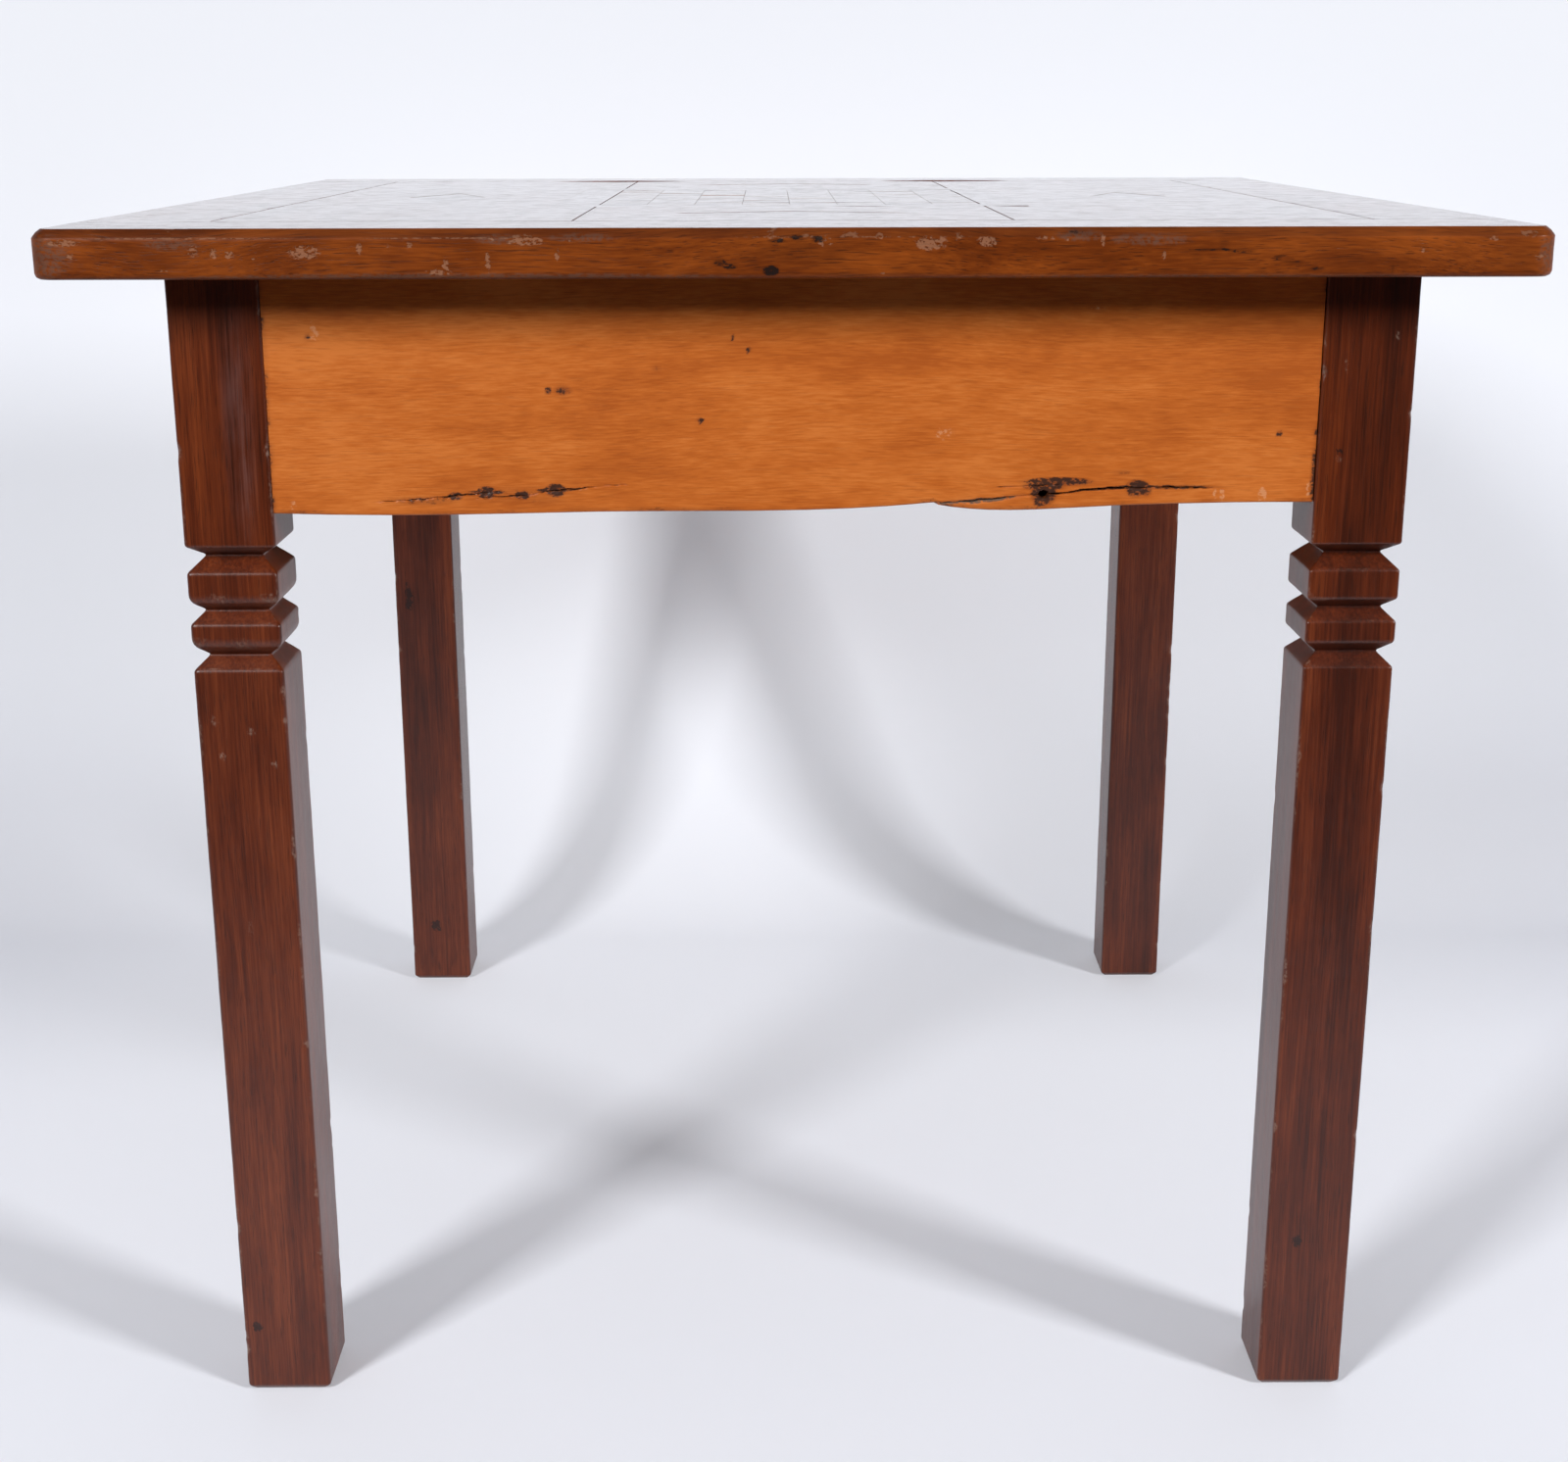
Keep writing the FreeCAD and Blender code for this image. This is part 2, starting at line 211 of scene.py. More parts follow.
# %% Paper sweep
sweep_start, sweep_radius, sweep_turn, sweep_half_width = 0.445, 0.235, math.radians(66.0), 4.5
straight_length, sweep_steps = 2.0, 16
profile = [(-5.0, 0.0), (-2.0, 0.0), (sweep_start, 0.0)]
for step in range(1, sweep_steps + 1):
    angle = sweep_turn * step / sweep_steps
    profile.append((sweep_start + sweep_radius * math.sin(angle), sweep_radius * (1 - math.cos(angle))))
profile.append((profile[-1][0] + straight_length * math.cos(sweep_turn),
                profile[-1][1] + straight_length * math.sin(sweep_turn)))
paper_points = [(side * sweep_half_width, y, z) for y, z in profile for side in (-1, 1)]
paper_faces = [(2 * i, 2 * i + 1, 2 * i + 3, 2 * i + 2) for i in range(len(profile) - 1)]
paper_mesh = bpy.data.meshes.new("paper_sweep")
paper_mesh.from_pydata(paper_points, [], paper_faces)
paper_mesh.shade_smooth()
paper = bpy.data.objects.new("paper_sweep", paper_mesh)
scene.collection.objects.link(paper)
print("paper faces:", len(paper_faces))

# %% [markdown]
# The paper's finish is two greys, mixed by place: palest where the sheet rises behind the table, greyer
# on the floor, higher up and outside the picture. This mix is painted light: it stands in for how the
# lamps light the sheet. What the camera sees is lifted a little towards white by a painted glow that also
# varies by place. For gloss and fill light the paper ends in front of the table, as in a dim room, and
# from behind the sheet is clear, so that the table can be looked at from all sides.

# %% Paper finish
def mixed(share, first, second):
    return share.bench.node("ShaderNodeMixShader", None, {0: share, 1: first, 2: second})


white_air = (0.90, 0.92, 0.97)
bench = Bench(bpy.data.materials.new("pale_paper"))
glow = bench.node("ShaderNodeEmission", None, {"Color": white_air, "Strength": 1.0})
gloom = bench.node("ShaderNodeEmission", None, {"Color": (0.03, 0.03, 0.03), "Strength": 1.0})
grey_sheet = bench.node("ShaderNodeBsdfDiffuse", None, {"Color": (0.58, 0.59, 0.65)})
pale_sheet = bench.node("ShaderNodeBsdfDiffuse", None, {"Color": (0.915, 0.935, 0.99)})
clear = bench.node("ShaderNodeBsdfTransparent")
camera_ray, gloss_ray, clear_ray = ray_kinds(bench)
across_floor, along_floor, height = parts_of(object_place(bench))
across_squared = across_floor * across_floor
middle = 1 - soft_step(across_squared, 0.08, 0.80)
mid_floor = soft_step(along_floor, -0.6, 0.2) * (1 - soft_step(height, 0.05, 0.3))
low_wall = soft_step(height, 0.03, 0.25)
high_wall = soft_step(height, 0.45, 1.0)
outside = (1 - soft_step(along_floor, -1.6, -0.5)).at_least(soft_step(across_squared, 0.9, 3.0))
# painted light: the paper's paleness by place stands in for the fall of the lamps' light
painted_falloff = 0.58 + low_wall * (0.06 + middle * 0.36) - high_wall * (0.13 + middle * 0.30) - outside * 0.50
lift = 0.03 + middle * mid_floor * 0.25
lift = lift + low_wall * (0.22 - middle * 0.06) + high_wall * (0.30 - middle * 0.12)
# painted glow: by place, the sheet as seen is lifted towards white
painted_glow_share = (camera_ray + gloss_ray + clear_ray).at_most(1.0) * lift
dim_end = (1 - camera_ray) * (1 - soft_step(along_floor + gloss_ray * 0.3, -1.2, -0.6))
back = bench.node("ShaderNodeNewGeometry", None, None, "Backfacing")
sheet = mixed(painted_glow_share, mixed(painted_falloff, grey_sheet, pale_sheet), glow)
sheet = mixed(back, mixed(dim_end, sheet, gloom), clear)
bench.node("ShaderNodeOutputMaterial", None, {"Surface": sheet})
paper_mesh.materials.append(bench.owner)
print("paper nodes:", len(bench.tree.nodes))

# %% [markdown]
# Two soft lamps stand in front, one to the left and one further round to the right. Their places follow
# from the shadows of the legs and from how far the top shades the apron, their sizes from how soft those
# shadows are. The room adds little: some light from overhead, and the bright paper's side for gloss.

# %% Lamps and room
lamp_aim = Vector((0.0, 0.0, 0.45))


def soft_lamp(name, place, width, height, watts):
    data = bpy.data.lights.new(name, "AREA")
    data.shape = "RECTANGLE"
    data.size, data.size_y = width, height
    data.energy = watts
    lamp = bpy.data.objects.new(name, data)
    lamp.location = place
    lamp.rotation_euler = (lamp_aim - Vector(place)).to_track_quat("-Z", "Y").to_euler()
    scene.collection.objects.link(lamp)


soft_lamp("lamp_left", (-2.60, -3.60, 3.00), width=0.85, height=1.60, watts=191.0)
soft_lamp("lamp_right", (3.80, -2.90, 2.78), width=0.76, height=1.50, watts=201.0)
room = bpy.data.worlds.new("pale_room")
scene.world = room
bench = Bench(room)
camera_ray, gloss_ray, clear_ray = ray_kinds(bench)
heading, upward = parts_of(bench.node("ShaderNodeTexCoord", None, None, "Generated"))[1:]
paper_side = soft_step(heading, 0.15, 0.70) * (1 - soft_step(upward, 0.30, 0.60))
overhead = soft_step(upward, 0.45, 1.0)
mirrored = (gloss_ray + clear_ray).at_most(1.0) * (0.04 + paper_side * 0.80).at_least(overhead * 0.12)
fill = 1 - (camera_ray + gloss_ray + clear_ray).at_most(1.0)
strength = camera_ray * 0.97 + mirrored + fill * (0.02 + paper_side * 0.03 + overhead * 0.38)
air = bench.node("ShaderNodeBackground", None, {"Color": white_air, "Strength": strength})
bench.node("ShaderNodeOutputWorld", None, {"Surface": air})

# %% [markdown]
# Wood in general. Fibres wander a little, broad bands of early and late growth lie over them, clouds of
# tone drift through, and short dark pores lie along the grain. A picture of wood would stop at each edge;
# noises stretched along the grain run on round the corners of a piece, as in solid timber. Meshes carry
# values besides: wear where varnish is gone, which on the front border's edge also holds a painted
# highlight; stain where wood is dark, which on the front apron also holds painted shade; torn where fibres
# stand open; faded where colour has gone dull, which on the front left leg is a painted sheen; and tone
# where a piece is lighter or darker than its fellow.

# %% Wood recipe
def wood_layers(bench, axis, seed, wander, band, fleck, fibre, pore):
    """Noises of one wood; wander is in metres, the other numbers say how fine its bands and flecks are."""
    place = grain_place(bench, axis, seed)
    moved = (cloud(stretched(place, (2.4, 9.0, 9.0)), 1.0) - 0.5) * wander
    place = shifted(place, vector_of(bench, 0.0, moved, moved))

    def layer(along, across, detail, rough):
        return cloud(stretched(place, (along, across, across)), 1.0, detail, rough)

    return {
        "bands": layer(1.6, band, 4.0, 0.62),
        "mottle": layer(14.0, 42.0, 4.0, 0.60),
        "fibre": layer(fleck, fibre, 2.0, 0.6),
        "pores": soft_step(layer(60.0, pore, 1.0, 0.5), 0.58, 0.70),
        "blotch": layer(5.0, 11.0, 3.0, 0.55),
        "ragged": soft_step(layer(330.0, 520.0, 5.0, 0.65), 0.36, 0.64),
    }


def carried(bench, name):
    """A value that the mesh carries, zero where it has none."""
    return bench.node("ShaderNodeAttribute", {"attribute_name": name}, None, "Fac")


def ragged_step(layers, name, low, high, whole=0.3):
    """A carried value as a patch that breaks up into flakes, the less the more whole it is."""
    ragged, most = layers["ragged"], 1.7
    return soft_step(carried(ragged.bench, name) * (whole + ragged * (most - whole)), low, high)


def laid_over(colour, coats):
    """Lays thin coats over a colour one by one; each has a share and a colour of its own."""
    for share, coat in coats:
        colour = blend(share, colour, coat)
    return colour


def varnished(bench, colour, rough, height, depth, coat=0.0, coat_rough=0.12, gloss=0.35):
    """Ends a wood: colour, roughness, a bump of the given depth in metres, and a coat of varnish."""
    bump = bench.node("ShaderNodeBump", None, {"Strength": 1.0, "Distance": depth, "Height": height})
    shader = bench.node("ShaderNodeBsdfPrincipled", None, {
        "Base Color": colour, "Roughness": rough, "Normal": bump, "Specular IOR Level": gloss,
        "Coat Weight": coat, "Coat Roughness": coat_rough})
    bench.node("ShaderNodeOutputMaterial", None, {"Surface": shader})
    return bench.owner


print("wood recipe ready")

# %% [markdown]
# Leg wood is a dark, red-brown hardwood with close, straight grain and many short pores, under a thin
# satin varnish; its upper part is warmer. Along the arrises varnish has rubbed off, and greyish, paler
# wood shows there; where the marks say, a grey haze is laid on as a painted sheen. One recipe with four
# seeds makes the legs fellows, not copies.

# %% Leg wood
leg_tones = ((0.040, 0.0075, 0.0030), (0.088, 0.0160, 0.0050), (0.155, 0.0330, 0.0100))


def leg_wood(name, seed):
    bench = Bench(bpy.data.materials.new(name))
    layers = wood_layers(bench, "z", seed, wander=0.010, band=34.0, fleck=13.0, fibre=620.0, pore=2000.0)
    bands, mottle, fibre, pores = [layers[key] for key in ("bands", "mottle", "fibre", "pores")]
    tone = bands * 0.60 + fibre * 0.35 + mottle * 0.20 + carried(bench, "tone")
    colour = colour_ramp(tone, (0.44, 0.57, 0.72), leg_tones)
    colour = blend(pores * 0.55, colour, (0.018, 0.005, 0.003))
    upper_part = soft_step(parts_of(object_place(bench))[2], 0.48, 0.62)
    colour = blend(upper_part, colour, (1.0, 0.86, 0.45), "MULTIPLY")
    rubbed = ragged_step(layers, "wear", 0.20, 0.95)
    # painted sheen: a grey haze laid over the marked spots of the front left leg
    painted_sheen = carried(bench, "faded") * soft_step(fibre * 0.4 + mottle * 0.6, 0.38, 0.62)
    stain_and_shade_mask = ragged_step(layers, "stain", 0.35, 0.75, 0.6)
    colour = laid_over(colour, [
        (rubbed * 0.60, (0.230, 0.140, 0.105)),
        (painted_sheen * 0.50, (0.115, 0.080, 0.082)),
        (stain_and_shade_mask * 0.85, (0.012, 0.005, 0.004))])
    rough = 0.28 + fibre * 0.14 + rubbed * 0.20
    height = fibre * 0.35 + bands * 0.4 - pores * 0.5
    return varnished(bench, colour, rough, height, depth=0.00008, coat=0.20, coat_rough=0.26, gloss=0.30)


leg_places = {"front_left": (-1, -1), "front_right": (1, -1), "rear_right": (1, 1), "rear_left": (-1, 1)}
leg_finish = {name: leg_wood("leg_wood_" + name, 3.0 + 2.3 * i) for i, name in enumerate(leg_places)}
print("leg woods:", len(leg_finish))

# %% [markdown]
# Apron wood is a soft, honey-orange timber with faint waves along the board and short, thin flecks.
# Knots and cracks have drawn dark stains round them, and torn fibres have gone grey. The same layers of
# wood serve again, with finer fibres and a paler ramp of colours.

# %% Apron wood
apron_tones = ((0.385, 0.084, 0.0085), (0.485, 0.118, 0.0140), (0.575, 0.162, 0.0270))


def apron_wood(name, axis, seed):
    bench = Bench(bpy.data.materials.new(name))
    layers = wood_layers(bench, axis, seed, wander=0.030, band=26.0, fleck=80.0, fibre=950.0, pore=1250.0)
    bands, fibre, pores = [layers[key] for key in ("bands", "fibre", "pores")]
    tone = bands * 0.16 + layers["mottle"] * 0.54 + fibre * 0.40 + layers["blotch"] * 0.34
    tone = tone - 0.14 + carried(bench, "tone")
    pale = ragged_step(layers, "wear", 0.35, 0.75)
    # the stain values of the front board also hold painted shade next to the legs and along its lower edge
    halo_and_shade = soft_step(carried(bench, "stain"), 0.02, 0.70)
    stain_and_shade_mask = ragged_step(layers, "stain", 0.36, 0.84, 0.5)
    torn = ragged_step(layers, "torn", 0.35, 0.65)
    colour = laid_over(colour_ramp(tone, (0.44, 0.57, 0.70), apron_tones), [
        (pores * 0.32, (0.30, 0.070, 0.009)),
        (pale * 0.45, (0.68, 0.36, 0.19)),
        (halo_and_shade * 0.62, (0.19, 0.038, 0.007)),
        (stain_and_shade_mask * 0.92, (0.026, 0.011, 0.007)),
        (torn * 0.85, blend(fibre, (0.012, 0.009, 0.007), (0.20, 0.135, 0.095)))])
    rough = 0.36 + fibre * 0.14 + torn * 0.40
    height = fibre * 0.3 + bands * 0.5 - pores * 0.2 - stain_and_shade_mask * 0.8
    return varnished(bench, colour, rough, height, depth=0.00007, coat=0.05)


apron_axis = {"front": "x", "right": "y", "rear": "x", "left": "y"}
apron_finish = {side: apron_wood("apron_wood_" + side, axis, 1.0 + 3.1 * i)
                for i, (side, axis) in enumerate(apron_axis.items())}
print("apron woods:", len(apron_finish))

# %% [markdown]
# The top is a redder hardwood under old gloss varnish, which is worn thin in streaks and smudges. Only its
# level face still has the thick coat; along the edges varnish has flaked off and left pale, ragged patches.
# Faces that turn upwards, the chamfer and the level face alike, are darkened as painted shade against the
# light of the lamps above. Borders, field boards and inlay share this one recipe with other seeds and tones.

# %% Top woods
def top_wood(name, axis, seed, tones):
    bench = Bench(bpy.data.materials.new(name))
    layers = wood_layers(bench, axis, seed, wander=0.060, band=30.0, fleck=55.0, fibre=800.0, pore=1500.0)
    bands, fibre, pores, blotch = [layers[key] for key in ("bands", "fibre", "pores", "blotch")]
    tone = bands * 0.40 + fibre * 0.20 + layers["mottle"] * 0.36 + blotch * 0.20 + carried(bench, "tone")
    shade = soft_step(carried(bench, "stain"), 0.05, 0.9)
    faded = ragged_step(layers, "faded", 0.10, 0.90)
    # chips, and on the front border's edge a painted highlight line
    chips_and_highlight = ragged_step(layers, "wear", 0.38, 0.66, 0.4)
    stain_and_shade_mask = ragged_step(layers, "stain", 0.62, 0.90, 0.5)
    facing_up = parts_of(bench.node("ShaderNodeNewGeometry", None, None, "Normal"))[2]
    colour = laid_over(colour_ramp(tone, (0.42, 0.58, 0.74), tones), [
        (pores * 0.5, (0.02, 0.007, 0.004)),
        (shade * 0.60, (0.030, 0.008, 0.003)),
        (faded * 0.60, (0.120, 0.062, 0.042)),
        (chips_and_highlight * 0.66, (0.300, 0.135, 0.072)),
        (stain_and_shade_mask * 0.92, (0.012, 0.008, 0.007)),
        # painted shade: faces that turn upwards are darkened against the light of the lamps above
        (soft_step(facing_up, 0.1, 0.6) * 0.42, (0.035, 0.008, 0.002))])
    level_face = soft_step(facing_up, 0.96, 0.998)
    flat_place = object_place(bench)
    streak = soft_step(cloud(flat_place, 90.0, 5.0, 0.65), 0.34, 0.56)
    smudge = soft_step(cloud(flat_place, 34.0, 5.0, 0.62), 0.36, 0.56)
    coat = level_face * (0.73 + streak * 0.16 + smudge * 0.11)
    rough = 0.20 + blotch * 0.26 + chips_and_highlight.at_least(faded) * 0.25
    height = fibre * 0.3 + bands * 0.6 - pores * 0.5 - chips_and_highlight * 2.0
    return varnished(bench, colour, rough, height, depth=0.00010, coat=coat, coat_rough=0.10, gloss=0.12)


red_brown = ((0.046, 0.0085, 0.0018), (0.140, 0.028, 0.0040), (0.30, 0.068, 0.0085))
field_brown = ((0.055, 0.0150, 0.0060), (0.140, 0.040, 0.0130), (0.24, 0.075, 0.0260))
border_grain = {"front": ("x", 5.0), "rear": ("x", 8.2), "left": ("y", 11.7), "right": ("y", 14.9)}
field_seeds = {"left": 17.3, "middle": 20.1, "right": 23.6}
top_finish = {"top_border_" + side: top_wood("border_wood_" + side, axis, seed, red_brown)
              for side, (axis, seed) in border_grain.items()}
for side, seed in field_seeds.items():
    top_finish["field_board_" + side] = top_wood("field_wood_" + side, "y", seed, field_brown)
print("top woods:", len(top_finish))

# %% [markdown]
# Inlay is the same varnished wood in a dark, a light and a middling tone, so the recipe of the top makes
# it too.

# %% Inlay woods
dark_tones = ((0.020, 0.0065, 0.0035), (0.050, 0.0150, 0.0070), (0.095, 0.030, 0.0130))
light_tones = ((0.140, 0.055, 0.0200), (0.240, 0.105, 0.0400), (0.350, 0.165, 0.0650))
edging_tones = ((0.045, 0.0110, 0.0045), (0.095, 0.0250, 0.0085), (0.160, 0.048, 0.0150))
dark_inlay = top_wood("dark_inlay", "y", 27.0, dark_tones)
light_inlay = top_wood("light_inlay", "x", 30.0, light_tones)
edging_finish = {"x": top_wood("edging_wood_long", "x", 33.0, edging_tones),
                 "y": top_wood("edging_wood_side", "y", 36.0, edging_tones)}
print("inlay woods:", 2 + len(edging_finish))

# %% [markdown]
# Underneath, buttons, blocks and battens are bare softwood, dry and matt, and the nails that hold them are
# forged iron with some rust. They are hardly seen, so a short recipe does.

# %% Bare wood and iron
bare_tones = ((0.20, 0.105, 0.044), (0.31, 0.180, 0.080), (0.42, 0.265, 0.130))


def bare_wood(name, axis, seed):
    bench = Bench(bpy.data.materials.new(name))
    layers = wood_layers(bench, axis, seed, wander=0.030, band=38.0, fleck=16.0, fibre=420.0, pore=1200.0)
    bands, fibre = layers["bands"], layers["fibre"]
    tone = bands * 0.60 + fibre * 0.25 + layers["mottle"] * 0.25
    grime = soft_step(layers["blotch"], 0.50, 0.72)
    colour = blend(grime * 0.45, colour_ramp(tone, (0.42, 0.56, 0.72), bare_tones), (0.10, 0.060, 0.032))
    height = fibre * 0.5 + bands * 0.5 - layers["pores"] * 0.4
    return varnished(bench, colour, 0.62 + fibre * 0.2, height, depth=0.00020)


bare_finish = {axis: bare_wood("bare_wood_" + axis, axis, 39.0 + i) for i, axis in enumerate("xyz")}
bench = Bench(bpy.data.materials.new("nail_iron"))
rust = cloud(object_place(bench), 900.0, 3.0, 0.6)
colour = blend(soft_step(rust, 0.5, 0.7), (0.035, 0.030, 0.028), (0.11, 0.045, 0.020))
nail_iron = varnished(bench, colour, 0.45 + rust * 0.3, rust, depth=0.00020)
print("bare woods:", len(bare_finish))

# %% [markdown]
# Every solid gets its finish by name, so a new piece of a known kind would find its finish by itself.
# Pieces that are worked further below keep the same finish.

# %% Finishes on the solids
def finish_for(name):
    kind = name.split("_")[0]
    grain = "x" if name.endswith(("front", "rear")) else "y"
    if name in top_finish:
        return top_finish[name]
    if kind == "leg":
        return leg_finish[name[4:]]
    if kind == "apron":
        return apron_finish[name[6:]]
    if name == "board_squares_light":
        return light_inlay
    if name == "board_squares_dark" or kind == "lozenge":
        return dark_inlay
    if name.startswith("board_edging"):
        return edging_finish[grain]
    if name.endswith("nails"):
        return nail_iron
    if kind == "corner":
        return bare_finish["z"]
    if "button" in name:
        return bare_finish["y" if "front" in name or "rear" in name else "x"]
    return bare_finish["x" if kind == "batten" else grain]


for name, solid in nodes.items():
    solid.data.materials.clear()
    solid.data.materials.append(finish_for(name))
print("finished solids:", len(nodes))

# %% [markdown]
# Pieces with real edges. The solids have flat faces and plain chamfers, and a bevel would round them all
# alike. So the woods that are seen most get a finer skin of quads on the same sizes: arrises rounded by
# hand and use, nicks, cracks and small waves. Most are a row of rings, joined to their neighbours by quads.

# %% Skin helpers
sharp_angle = math.radians(38)


def ripple(seed, x, y, z, scale):
    """A small, even noise between -1 and 1, different for each seed."""
    return noise.noise(Vector((x * scale + seed * 7.3, y * scale - seed * 3.1, z * scale + seed * 1.9)))


def clothe(name, points, faces, values, stands_for, finish):
    """Turns points and faces into a piece that takes a solid's place, and lets it carry its values."""
    mesh = bpy.data.meshes.new(name)
    mesh.from_pydata(points, [], faces)
    work = bmesh.new()
    work.from_mesh(mesh)
    bmesh.ops.recalc_face_normals(work, faces=work.faces)
    work.to_mesh(mesh)
    work.free()
    mesh.shade_smooth()
    mesh.set_sharp_from_angle(angle=sharp_angle)
    for key, numbers in values.items():
        mesh.attributes.new(key, "FLOAT", "POINT").data.foreach_set("value", numbers)
    mesh.materials.append(finish)
    piece = bpy.data.objects.new(name, mesh)
    scene.collection.objects.link(piece)
    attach(piece, "root")
    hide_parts(stands_for)
    return piece


def tube_faces(rings, size):
    """Quads from ring to ring, and a face on each end."""
    faces = []
    for ring in range(rings - 1):
        low, high = ring * size, (ring + 1) * size
        for spot in range(size):
            after = (spot + 1) % size
            faces.append((low + spot, low + after, high + after, high + spot))
    faces.append(tuple(range(size)))
    faces.append(tuple((rings - 1) * size + spot for spot in range(size)))
    return faces


def eased(outline, reaches, steps=4):
    """The same open outline with its corners rounded off, each by its own reach."""
    longest = 0.42
    made = [Vector(outline[0])]
    for before, corner, after, reach in zip(outline, outline[1:], outline[2:], reaches):
        before, corner, after = Vector(before), Vector(corner), Vector(after)
        start = corner + (before - corner).normalized() * min(reach, (before - corner).length * longest)
        end = corner + (after - corner).normalized() * min(reach, (after - corner).length * longest)
        for step in range(steps + 1):
            share = step / steps
            made.append(start * (1 - share) ** 2 + corner * 2 * share * (1 - share) + end * share ** 2)
    made.append(Vector(outline[-1]))
    return made


def filled(outline, spacing):
    """The same outline with extra points, so that none of its runs is longer than the spacing."""
    made = [outline[0]]
    for start, end in zip(outline, outline[1:]):
        count = max(1, math.ceil((end - start).length / spacing))
        made += [start.lerp(end, (i + 1) / count) for i in range(count)]
    return made


print("skin helpers ready")

# %% [markdown]
# A leg. On the real one, notches are sawn in from all four faces and pared to slopes that meet in mitres.
# Cutting a block again would leave its edges sharp, so an outline of inset and height is walked from top
# to foot instead, and each stop will lay one ring with rounded corners.

# %% Leg outline
frame_half_width, frame_half_depth = 0.367, 0.390
leg_half, leg_top, block_height, foot_ease = 0.0275, 0.737, 0.161, 0.0035
# Each notch: its depth, the fall and rise of its slopes, and the band below it
collar = [(0.0100, 0.0060, 0.0093, 0.0175), (0.0080, 0.0057, 0.0075, 0.0128), (0.0085, 0.0065, 0.0081, 0.0)]
notch_root = 0.0012
leg_outline = [(0.0, leg_top)]
level = leg_top - block_height
for depth, fall, rise, band in collar:
    leg_outline += [(0.0, level), (depth, level - fall), (depth, level - fall - notch_root),
                    (0.0, level - fall - notch_root - rise)]
    level -= fall + notch_root + rise + band
leg_outline += [(0.0, foot_ease), (foot_ease, 0.0)]
print("leg outline:", len(leg_outline), "corners")

# %% [markdown]
# Marks on the front faces of the legs: pale chips, dark spots, and a grey streak down the front left leg's
# upper block, which is a painted sheen. Each is an oval, placed one by one and written in millimetres as a
# middle, two half sizes and a strength; the finishes turn ovals into ragged patches. A painted picture would
# blur when seen close.

# %% Leg marks
def in_metres(marks):
    """Marks written in millimetres; their strength, the last number, stays as it is."""
    return [(*[size / 1000 for size in mark[:4]], mark[4]) for mark in marks]


def mark_at(marks, x, z):
    """How strongly the strongest mark covers a spot."""
    strongest = 0.0
    for mark_x, mark_z, half_x, half_z, strength in marks:
        off = ((x - mark_x) / half_x) ** 2 + ((z - mark_z) / half_z) ** 2
        if off < 1.0:
            strongest = max(strongest, strength * (1.0 - off))
    return strongest


leg_pale = {
    "front_left": in_metres([
        (-17, 467.5, 2.8, 3.4, 0.9), (5, 460.6, 2.8, 3.4, 0.9), (-13.5, 444.8, 2.8, 3.4, 0.9),
        (18, 439.8, 2.8, 3.4, 0.8), (-4, 330, 3, 12, 0.4)
    ]),
    "front_right": in_metres([
        (-13.3, 684.5, 1.8, 3, 0.8), (-12.8, 680, 1.4, 2, 0.7), (15.5, 700.5, 1.4, 4, 0.7),
        (-14.5, 628, 2.2, 2.4, 0.8)
    ]),
}
# a grey streak of painted sheen
leg_sheen = {
    "front_left": in_metres([(10.5, 650, 11, 90, 0.6), (13.5, 628, 4, 50, 0.8)]),
}
leg_dark = {
    "front_left": in_metres([(-18.7, 48, 4.5, 5.5, 1.1)]),
    "front_right": in_metres([(-7.2, 108, 4.5, 5.5, 1.1), (-14.5, 631.5, 2.5, 2.5, 1.1)]),
    "rear_left": in_metres([(-4.2, 56, 6, 8, 1.1), (-15, 386, 5, 22, 0.9)]),
}
print("legs with marks:", sorted({*leg_pale, *leg_sheen, *leg_dark}))

# %% [markdown]
# The legs themselves. Nicks sit on the corners, and every leg has its own. The front left leg is the most
# worn, with bands that are rounded over. Rings lie closer on the front legs, which are seen from near.

# %% Legs
# Where the outline has the lower corners of the two bands, which wear roundest
band_corners = (4, 8)
nick_count, arris_steps, full_bulge, front_skin = 26, 5, 0.00012, 0.004
leg_corners = [(1, 1), (-1, 1), (-1, -1), (1, -1)]
leg_shades = {"front_right": -0.035}


def leg_ring(half, arris, face_steps):
    """Points of one rounded square, with how near each is to a corner."""
    ring = []
    for quarter in range(4):
        turned = Matrix.Rotation(math.pi / 2 * quarter, 2)
        middle = half - arris
        for step in range(arris_steps + 1):
            angle = math.pi / 2 * step / arris_steps
            x, y = turned @ Vector((middle + arris * math.cos(angle), middle + arris * math.sin(angle)))
            ring.append((x, y, 1.0 - abs(step / arris_steps - 0.5) * 1.2))
        for step in range(1, face_steps):
            x, y = turned @ Vector((middle * (1 - 2 * step / face_steps), half))
            ring.append((x, y, 0.0))
    return ring


